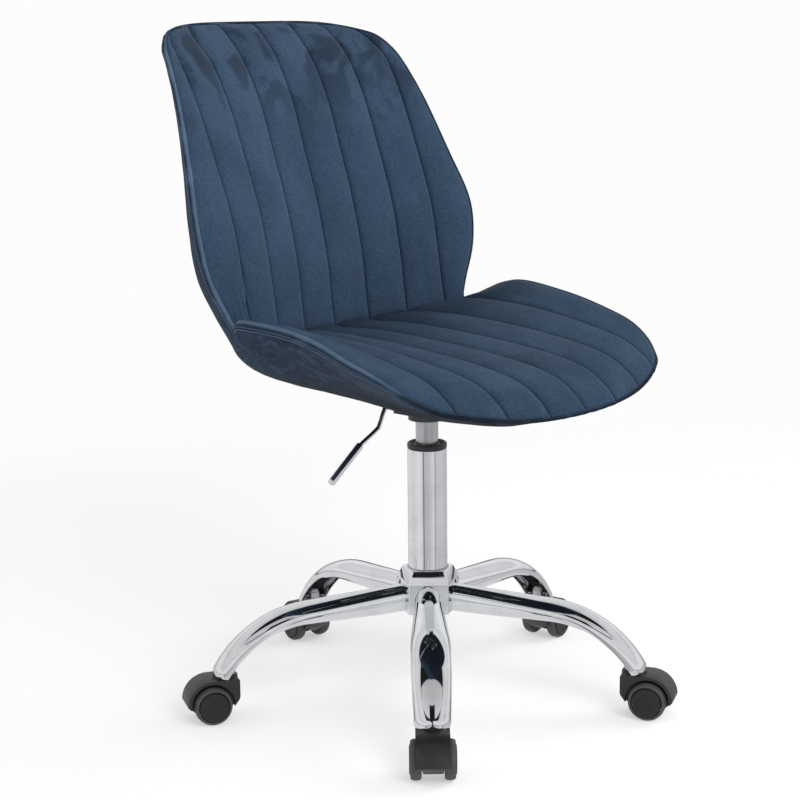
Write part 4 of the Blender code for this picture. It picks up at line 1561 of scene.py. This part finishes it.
    def pad(self, name: str, node: str, front: np.ndarray, net: Net, depth: np.ndarray,
            masks: dict[str, np.ndarray], every: int = 6) -> None:
        """Close a quilted face into a padded body, with a coarser rear.

        Args:
            name: The piece's name.
            node: The frame's node that it replaces.
            front: The face's points.
            net: The face grid, for its normals.
            depth: How far behind the face its rear lies, point by point.
            masks: Float attributes for the velvet, by name.
            every: How many of the face's rows and columns one of the rear spans.
        """
        rear = net.points - net.normals() * depth[:, :, None]
        rows, columns = front.shape[:2]
        index = np.arange(rows * columns).reshape(rows, columns)
        back_rows, back_columns = (np.unique(np.append(np.arange(0, size, every), size - 1))
                                   for size in (rows, columns))
        coarse = rear[np.ix_(back_rows, back_columns)]
        behind = index.size + np.arange(coarse.size // 3).reshape(coarse.shape[:2])
        faces = grid_quads(index) + grid_quads(behind.T)
        lines = ((index[0], behind[0], back_columns, False), (index[-1], behind[-1], back_columns, True),
                 (index[:, 0], behind[:, 0], back_rows, True), (index[:, -1], behind[:, -1], back_rows, False))
        for outer, inner, kept, flip in lines:
            for number, (low, high) in enumerate(zip(kept, kept[1:])):
                face = inner[number:number + 2].tolist() + outer[low:high + 1][::-1].tolist()
                faces.append(face[::-1] if flip else face)
        mesh = bpy.data.meshes.new(name)
        mesh.from_pydata(np.vstack([front.reshape(-1, 3), coarse.reshape(-1, 3)]).tolist(), [], faces)
        paint(mesh, masks)
        finish = "seat_velvet" if node == "seat_pad" else "velvet"
        finish_piece(link_mesh(name, shade(mesh, 70)), finish, "seat", [node])

    def build(self) -> None:
        """Build the seat, the back, the rim, the piping and the cover."""
        share = np.arange(self.columns) / self.columns
        inside = (1 - np.cos(np.pi * share)) / 2
        across = np.concatenate([number + inside for number in range(CHANNELS)] + [[float(CHANNELS)]])
        seat_rows = self.rows(0, self.crease, self.row_step)
        back_rows = self.rows(self.crease, len(STATIONS) - 1, self.row_step)
        rows = np.concatenate([seat_rows, back_rows[1:]])
        whole, under = self.face(rows, across), self.cover(rows, across)
        face_ring, cover_ring = self.ring(whole.points), self.ring(under.points)
        near, far = self.softened(face_ring, self.soften), self.softened(cover_ring, self.soften)
        self.shift_border(whole, near - face_ring)
        drawn = np.interp(near[:, 1:2], (-0.190, -0.090), (0.60, 0.0))
        slim = np.interp(near[:, :1], (-0.236, -0.208, -0.160, -0.060, 0.0, 0.080), (0.0, 0.42, 0.55, 0.62, 0.66, 0.72))
        far += (near - far) * np.maximum(slim, drawn)
        self.shift_border(under, far - cover_ring)
        gap = np.linalg.norm(under.points - whole.points, axis=2)
        split = len(seat_rows)
        self.seat(Net(seat_rows, across, whole.points[:split]), gap[:split])
        self.back(Net(back_rows, across, whole.points[split - 1:]), gap[split - 1:])
        self.rim(near, far)
        self.outer_cover(under)
        self.shell(whole, under)
        self.screws()

    def seat(self, net: Net, gap: np.ndarray) -> None:
        """The seat, with painted shade towards the crease and on its far side.

        Args:
            net: Its face grid.
            gap: The distance to the cover.
        """
        points, painted_shade, beside = self.quilted(net, (0, self.crease), (0.016, 0.013))
        x, y = points[:, :, 0], points[:, :, 1]
        # Painted shade: darker towards the crease and on the far side.
        ahead = np.clip((0.170 - y) / 0.19, 0, 1)
        crease_shade = 0.04 + 0.78 * (1 - ahead) ** 0.95 * (0.84 + 0.16 * np.clip(x / 0.2, -1, 1))
        self.sewn("seat_cushion", "seat_pad", points, net, gap, (painted_shade, beside, crease_shade, np.full(x.shape, 0.35)))

    def back(self, net: Net, gap: np.ndarray) -> None:
        """The back, with small tucks at its near lower corner.

        Args:
            net: Its face grid.
            gap: The distance to the cover.
        """
        points, painted_shade, beside = self.quilted(net, (self.crease, len(STATIONS) - 1), (0.011, 0.015))
        x, z = points[:, :, 0].copy(), points[:, :, 2].copy()
        foot = 0.455
        tucks = bell(x, -0.190, 0.032) * bell(z, 0.505, 0.040)
        waves = np.sin(620 * x + 90 * (z - foot) + 1.5 * np.sin(60 * z))
        points += net.normals() * (0.0010 * tucks * waves)[:, :, None]
        # Painted shade at the foot of the back, by the crease.
        crease_shade = 0.30 * np.exp(-(z - foot) / 0.018)
        self.sewn("back_cushion", "back_pad", points, net, gap,
                  (painted_shade, beside, crease_shade, np.clip((z - 0.690) / 0.10, 0.08, 1.0)))

    def sewn(self, name: str, node: str, points: np.ndarray, net: Net, gap: np.ndarray,
             looks: tuple[np.ndarray, np.ndarray, np.ndarray, np.ndarray]) -> None:
        """Make the pad of a quilted face.

        Args:
            name: The piece's name.
            node: The frame's node that it replaces.
            points: The face's points.
            net: Its grid.
            gap: The distance to the cover.
            looks: Painted shade in the seams, painted highlight beside them, painted shade near the crease and turned
                nap, from 0 to 1 at each point.
        """
        painted_shade, beside, crease_shade, turned = looks
        # Painted shade: the seams' shade combined with the shade near the crease; the nap beside the seams gets a
        # painted highlight.
        dark = 1 - (1 - 0.62 * painted_shade) * (1 - np.clip(crease_shade, 0, 1))
        self.pad(name, node, points, net, np.minimum(0.0065, 0.6 * gap),
                 {"painted_shade": dark, "lift": 0.55 * beside, "turned": turned})

    def screws(self) -> None:
        """The four screws that hold the mechanism's plate, with their washers."""
        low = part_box("seat_mechanism")[0]
        head = ((0, 0.0030), (0.0018, 0.0030), (0.0022, 0.0018), (0.0030, 0.0016), (0.0030, 0.0033), (0.0046, 0.0030),
                (0.0054, 0.0012), (0.0078, 0.0011), (0.0078, 0.0002), (0, 0.0002))
        profile = rounded([(radius, self.plate_under - drop) for radius, drop in head], 0.0004, 3)
        mesh = turned_mesh("plate_screw", profile, 36)
        reach = (LIFT.x - low.x - 0.010, LIFT.y - low.y - 0.012)
        for number, (across, along) in enumerate(((-1, -1), (1, -1), (1, 1), (-1, 1)), 1):
            at = Matrix.Translation(LIFT + Vector((across * reach[0], along * reach[1], 0)))
            finish_piece(link_mesh(f"plate_screw_{number}", mesh, at), "zinc", "seat")

    def rim(self, near: np.ndarray, far: np.ndarray) -> None:
        """The rolled rim between the face and the cover, with a line of piping on each side.

        Args:
            near: The face's smoothed border.
            far: The cover's smoothed border.
        """
        length = travelled(np.vstack([near, near[:1]]))
        spots = np.linspace(0, length[-1], int(length[-1] / (0.0022)), endpoint=False)
        near, far = (read_line(line, length[:-1], spots, length[-1]) for line in (near, far))
        depth = unit(far - near)
        outward = unit(np.cross(np.roll(near, -1, axis=0) - np.roll(near, 1, axis=0), depth))
        if np.mean(np.sum(outward * (near - near.mean(axis=0)), axis=1)) < 0:
            outward = -outward
        steps = np.linspace(-self.tuck, 1 + self.tuck, 25)
        wave = self.ripple * np.sin(spots * 260) * np.sin(spots * 71 + 1.3)
        arch = np.sqrt(np.maximum(0.0, 1 - (2 * np.clip(steps, 0, 1) - 1) ** 2))
        roll = (self.roll + wave)[None] * arch[:, None]
        strip = near + (far - near) * steps[:, None, None] + outward * roll[:, :, None]
        rim = link_mesh("rim_roll", grid_mesh("rim_roll", strip, loop=True))
        # Painted light on the roll: beyond the face's piping, its front and far side are painted in shade. On the near
        # side it gets painted shade in its two dips and painted highlights on the lit roll and by the seam.
        beyond = np.maximum(slide(near[:, 0], -0.205, -0.135), slide(near[:, 1], -0.130, -0.200))
        ledge = 0.02 + 0.16 * beyond * beyond * (3 - 2 * beyond)
        below = 1 / (1 + np.exp(-(steps[:, None] - ledge[None] - 0.04) / 0.02))
        hollow_shade = 0.75 * bell(steps, 0.44, 0.06) + 0.85 * bell(steps, 0.88, 0.05)
        lit = 0.75 * bell(steps, 0.13, 0.13) + 0.55 * bell(steps, 0.66, 0.05)
        paint(rim.data, {"painted_shade": np.clip(0.95 * below * beyond + hollow_shade[:, None] * (1 - beyond), 0, 1),
                         "lift": lit[:, None] * (1 - beyond)})
        modify(rim, "SOLIDIFY", thickness=0.0016, offset=0.0)
        finish_piece(bake(rim), "rim_velvet", "seat")
        out = np.sqrt(np.clip(1 - (2 * ledge - 1) ** 2, 0, 1))[:, None] * self.roll + 0.0002
        for name, step, rise in (("face_piping", ledge[:, None], out), ("cover_piping", 0.97, 0.0009)):
            path = near + (far - near) * step + outward * rise
            cord = link_mesh(name, grid_mesh(name, tube_points(path, outward, depth, self.piping, 10), loop=True))
            # The piping is painted in shade on the front and far side and gets a painted highlight on the near side.
            paint(cord.data, {"painted_shade": np.tile(0.96 * beyond, (11, 1)), "lift": np.tile(0.70 * (1 - beyond), (11, 1))})
            finish_piece(cord, "piping", "seat")

    def outer_cover(self, net: Net) -> None:
        """The cover over the underside and the back, pulled over the shell's edges.

        Args:
            net: The cover grid.
        """
        x, y, z = (net.points[:, :, axis] for axis in range(3))
        at = net.at[:, None]
        ratio = np.abs(x) / self.read("rim_x", net.at)[:, None]
        calm = np.clip(np.minimum(net.across, CHANNELS - net.across)[None] / 0.9, 0, 1)
        folds = np.sin(38 * z + 21 * y + 6 * np.sin(9 * x + 4 * z)) * np.sin(23 * x - 17 * y + 2.1)
        fine = np.sin(140 * z + 60 * y + 5 * np.sin(40 * x)) * np.sin(90 * x + 30 * z)
        belly = bell(np.abs(x), 0.105, 0.045) * slide(at, 6.2, 5.0) * slide(at, 0.6, 2.0)
        slung = bell(np.abs(x), 0.125, 0.030) * bell(at, 4.0, 0.75)
        rise = calm * (self.fold_height * folds + self.crinkle_height * fine)
        points = net.points - net.normals() * rise[:, :, None]
        points[:, :, 2] -= self.sag * (belly + 1.15 * slung)
        # A dark underside: painted shade under the bucket, drawn as black backing cloth.
        underside_shade = slide(at, 8.2, 7.0) * slide(at, 0.2, 0.6) / (1 + np.exp((ratio - 0.74) / 0.03))
        turned = 0.18 + 0.75 * slide(at, 9.0, 7.0) * slide(ratio, 0.6, 0.9)
        thin = np.unique(np.append(np.arange(0, points.shape[1], 2), points.shape[1] - 1))
        cover = link_mesh("shell_cover", grid_mesh("shell_cover", points[:, thin]))
        paint(cover.data, {"painted_shade": underside_shade[:, thin], "turned": turned[:, thin]})
        modify(cover, "SOLIDIFY", thickness=0.0022, offset=1.0)
        finish_piece(bake(cover), "outer_velvet", "seat", ["outer_cover"])

    def shell(self, face: Net, cover: Net) -> None:
        """The plywood shell between the padding and the outer cover, trimmed short of the rim.

        Args:
            face: The face grid.
            cover: The cover grid.
        """
        trim = self.columns // 2 + 2
        kept = (slice(self.shell_trim, -self.shell_trim, 3), slice(trim, -trim, 3))
        middle = 0.30 * face.points[kept] + 0.70 * cover.points[kept]
        shell = link_mesh("moulded_shell", grid_mesh("moulded_shell", middle))
        modify(shell, "SOLIDIFY", thickness=self.plies, offset=0.0)
        finish_piece(bake(shell), "plywood", "seat", ["seat_shell"])


# --- what is carried over from the frame --------------------------------------------------


def dress_frame() -> None:
    """Give the frame's own nodes that still show their finishes."""
    kept = {"seat_mechanism": "painted", "thrust_bearing": "zinc", "retaining_clip": "zinc", "release_pin": "piston"}
    kept.update({f"castor_axle_{number}": "zinc" for number in range(1, LEG_COUNT + 1)})
    for node, finish in kept.items():
        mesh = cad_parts[node].data
        mesh.materials.clear()
        mesh.materials.append(MATERIALS[finish])
        LOG.info("%s keeps its shape", node)


# --- floor, light and camera --------------------------------------------------------------


@dataclass
class Studio:
    """Pale floor, soft light and the camera."""

    eye: Point = (-1.7556, -1.5366, 0.849)
    heading: float = math.radians(48)
    dip: float = 0.2005
    roll: float = 0.0105
    lens: float = 87.2
    rise: float = 0.003
    panels: tuple = ((-180, 0.25), (-168, 0.60), (-140, 0.92), (-85, 0.84), (-50, 0.98), (-29, 0.84), (-23, 0.16),
                     (-17, 0.62), (8, 0.68), (38, 0.90), (45, 0.42), (52, 0.72), (95, 0.74), (140, 0.60), (166, 0.86),
                     (180, 0.25))
    heights: tuple = ((0.0, 0.60), (0.14, 0.92), (0.30, 1.05), (0.44, 0.80), (0.60, 0.92), (1.0, 0.60))

    def build(self) -> None:
        """Build the studio."""
        self.floor()
        self.world()
        self.lamps()
        self.camera()
        bpy.context.scene.view_settings.view_transform = "Standard"

    def floor(self) -> None:
        """The plain pale floor, which fades out and which the chrome doesn't see."""
        bm = bmesh.new()
        bmesh.ops.create_circle(bm, cap_ends=True, radius=2.0, segments=96)
        material, wire, shader = blank_material("pale_floor")
        dust = EFFECTS.patches(wire, Scale=1.5, Detail=3.0, Low=0.3, High=0.7)
        wire.feed(shader, "Base Color", wire.mix(dust.outputs["Mask"], rgba((0.965,) * 3), rgba((0.985,) * 3)))
        shader.inputs["Roughness"].default_value = 0.9
        shader.inputs["Specular IOR Level"].default_value = 0.0
        place = wire.add("ShaderNodeTexCoord")
        reach = wire.add("ShaderNodeVectorMath", {"operation": "LENGTH"})
        wire.feed(reach, 0, place.outputs["Object"])
        rays = wire.add("ShaderNodeLightPath")
        wire.feed(shader, "Alpha", wire.times(
            wire.ranged(reach.outputs["Value"], 1.9, 0.55), wire.maths("SUBTRACT", 1.0, rays.outputs["Is Glossy Ray"]),
            wire.maths("MULTIPLY_ADD", rays.outputs["Is Camera Ray"], -0.45, 1.0)))
        mesh = mesh_from("studio_floor", bm)
        mesh.materials.append(material)
        link_mesh("studio_floor", mesh, Matrix.Translation((0, 0, -0.0004)))

    def world(self) -> None:
        """White walls round the set and a dark ceiling with a window, which the chrome reflects."""
        world = bpy.data.worlds.new("studio_walls")
        bpy.context.scene.world = world
        world.use_nodes = True
        world.node_tree.nodes.clear()
        wire = Wiring(world.node_tree)
        place = wire.add("ShaderNodeTexCoord")
        parts = wire.add("ShaderNodeSeparateXYZ")
        wire.feed(parts, 0, place.outputs["Generated"])
        height = parts.outputs["Z"]
        toward = self.direction(wire, place, (-math.sin(self.heading), -math.cos(self.heading), 0.0))
        beside = self.direction(wire, place, (math.cos(self.heading), -math.sin(self.heading), 0.0))
        turn = wire.maths("MULTIPLY_ADD", wire.maths("ARCTAN2", beside, toward), 0.5 / math.pi, 0.5)
        round_walls = self.ramp(wire, turn, [(0.5 + degrees / 360, (value, value, value * 1.02, 1))
                                             for degrees, value in self.panels])
        up_walls = self.ramp(wire, height, [(level, (value * 0.985, value * 0.99, value, 1))
                                            for level, value in self.heights])
        colour = wire.mix(wire.ranged(height, 0.02, 0.10), round_walls, up_walls)
        colour = wire.mix(wire.ranged(height, -0.42, -0.55), colour, (0.86, 0.86, 0.87, 1))
        colour = wire.mix(wire.maths("COMPARE", height, 0.02, 0.018), colour, (0.10, 0.10, 0.105, 1))
        aside = wire.maths("ABSOLUTE", beside)
        slit = wire.times(wire.maths("LESS_THAN", height, 0.84), wire.maths("LESS_THAN", aside, 0.17))
        window = wire.times(wire.maths("GREATER_THAN", toward, 0.12), wire.maths("LESS_THAN", aside, 0.62),
                            wire.maths("COMPARE", height, 0.845, 0.145), wire.maths("SUBTRACT", 1.0, slit))
        ceiling = wire.ranged(wire.maths("ADD", height, wire.times(toward, 0.22)), 0.775, 0.80)
        roof = wire.times(ceiling, wire.maths("SUBTRACT", 1.0, window))
        colour = wire.mix(roof, colour, (0.015, 0.015, 0.017, 1))
        rays = wire.add("ShaderNodeLightPath")
        seen = rays.outputs["Is Camera Ray"]
        light = wire.add("ShaderNodeBackground", Color=wire.mix(seen, colour, (1.0, 1.0, 1.0, 1)),
                         Strength=wire.maths("MULTIPLY_ADD", seen, 0.10, 0.88))
        wire.add("ShaderNodeOutputWorld", Surface=light.outputs[0])

    @staticmethod
    def ramp(wire: Wiring, share: bpy.types.NodeSocket,
             stops: Sequence[tuple[float, Sequence[float]]]) -> bpy.types.NodeSocket:
        """A colour ramp.

        Args:
            wire: The world's wiring.
            share: Where on the ramp the colour is read.
            stops: The place and colour of each stop.

        Returns:
            The colour's socket.
        """
        node = wire.add("ShaderNodeValToRGB", Fac=share)
        elements = node.color_ramp.elements
        for place, _ in stops[1:-1]:
            elements.new(place)
        for element, (place, colour) in zip(elements, stops):
            element.position, element.color = place, colour
        return node.outputs[0]

    @staticmethod
    def direction(wire: Wiring, place: bpy.types.Node, axis: Point) -> bpy.types.NodeSocket:
        """How far the world's direction points along an axis.

        Args:
            wire: The world's wiring.
            place: Its Texture Coordinate node.
            axis: The axis.

        Returns:
            The dot product's socket.
        """
        dot = wire.add("ShaderNodeVectorMath", {"operation": "DOT_PRODUCT"})
        wire.feed(dot, 0, place.outputs["Generated"])
        wire.feed(dot, 1, axis)
        return dot.outputs["Value"]

    def lamps(self) -> None:
        """Large soft panels, kept out of the chrome's reflections."""
        aim = Vector((0, 0, 0.45))
        for name, at, size, power in (
                ("key_panel", (-0.9, -2.3, 1.9), 1.6, 48), ("fill_panel", (2.2, -1.2, 1.6), 1.8, 38),
                ("rear_panel", (-1.8, 1.6, 1.7), 1.4, 9), ("top_panel", (0.0, 0.0, 3.0), 2.4, 12)):
            lamp = bpy.data.lights.new(name, "AREA")
            lamp.energy, lamp.size = power, size
            holder = bpy.data.objects.new(name, lamp)
            bpy.context.scene.collection.objects.link(holder)
            holder.location = at
            holder.rotation_euler = (aim - Vector(at)).to_track_quat("-Z", "Y").to_euler()
            holder.visible_glossy = False

    def camera(self) -> None:
        """The camera, turned a little about its own axis."""
        dip, turn = self.dip, self.heading
        ahead = Vector((math.sin(turn) * math.cos(dip), math.cos(turn) * math.cos(dip), -math.sin(dip)))
        right = Vector((math.cos(turn), -math.sin(turn), 0))
        up = right.cross(ahead)
        across = right * math.cos(self.roll) - up * math.sin(self.roll)
        over = right * math.sin(self.roll) + up * math.cos(self.roll)
        data = bpy.data.cameras.new("product_camera")
        data.lens, data.sensor_width, data.shift_y = self.lens, 36.0, self.rise
        data.clip_end = 200.0
        camera = bpy.data.objects.new("product_camera", data)
        bpy.context.scene.collection.objects.link(camera)
        axes = Matrix((across, over, -ahead)).transposed().to_4x4()
        camera.matrix_world = Matrix.Translation(LIFT + Vector(self.eye)) @ axes
        bpy.context.scene.camera = camera


def main() -> None:
    """Build the chair and its studio in order."""
    logging.basicConfig(level=logging.INFO, format="%(name)s %(message)s")
    for part in (StarBase(), Castor(), GasLift(), HeightLever(), Bucket()):
        part.build()
        LOG.info("%s done", type(part).__name__)
    dress_frame()
    Studio().build()


if __name__ == "__main__":
    main()
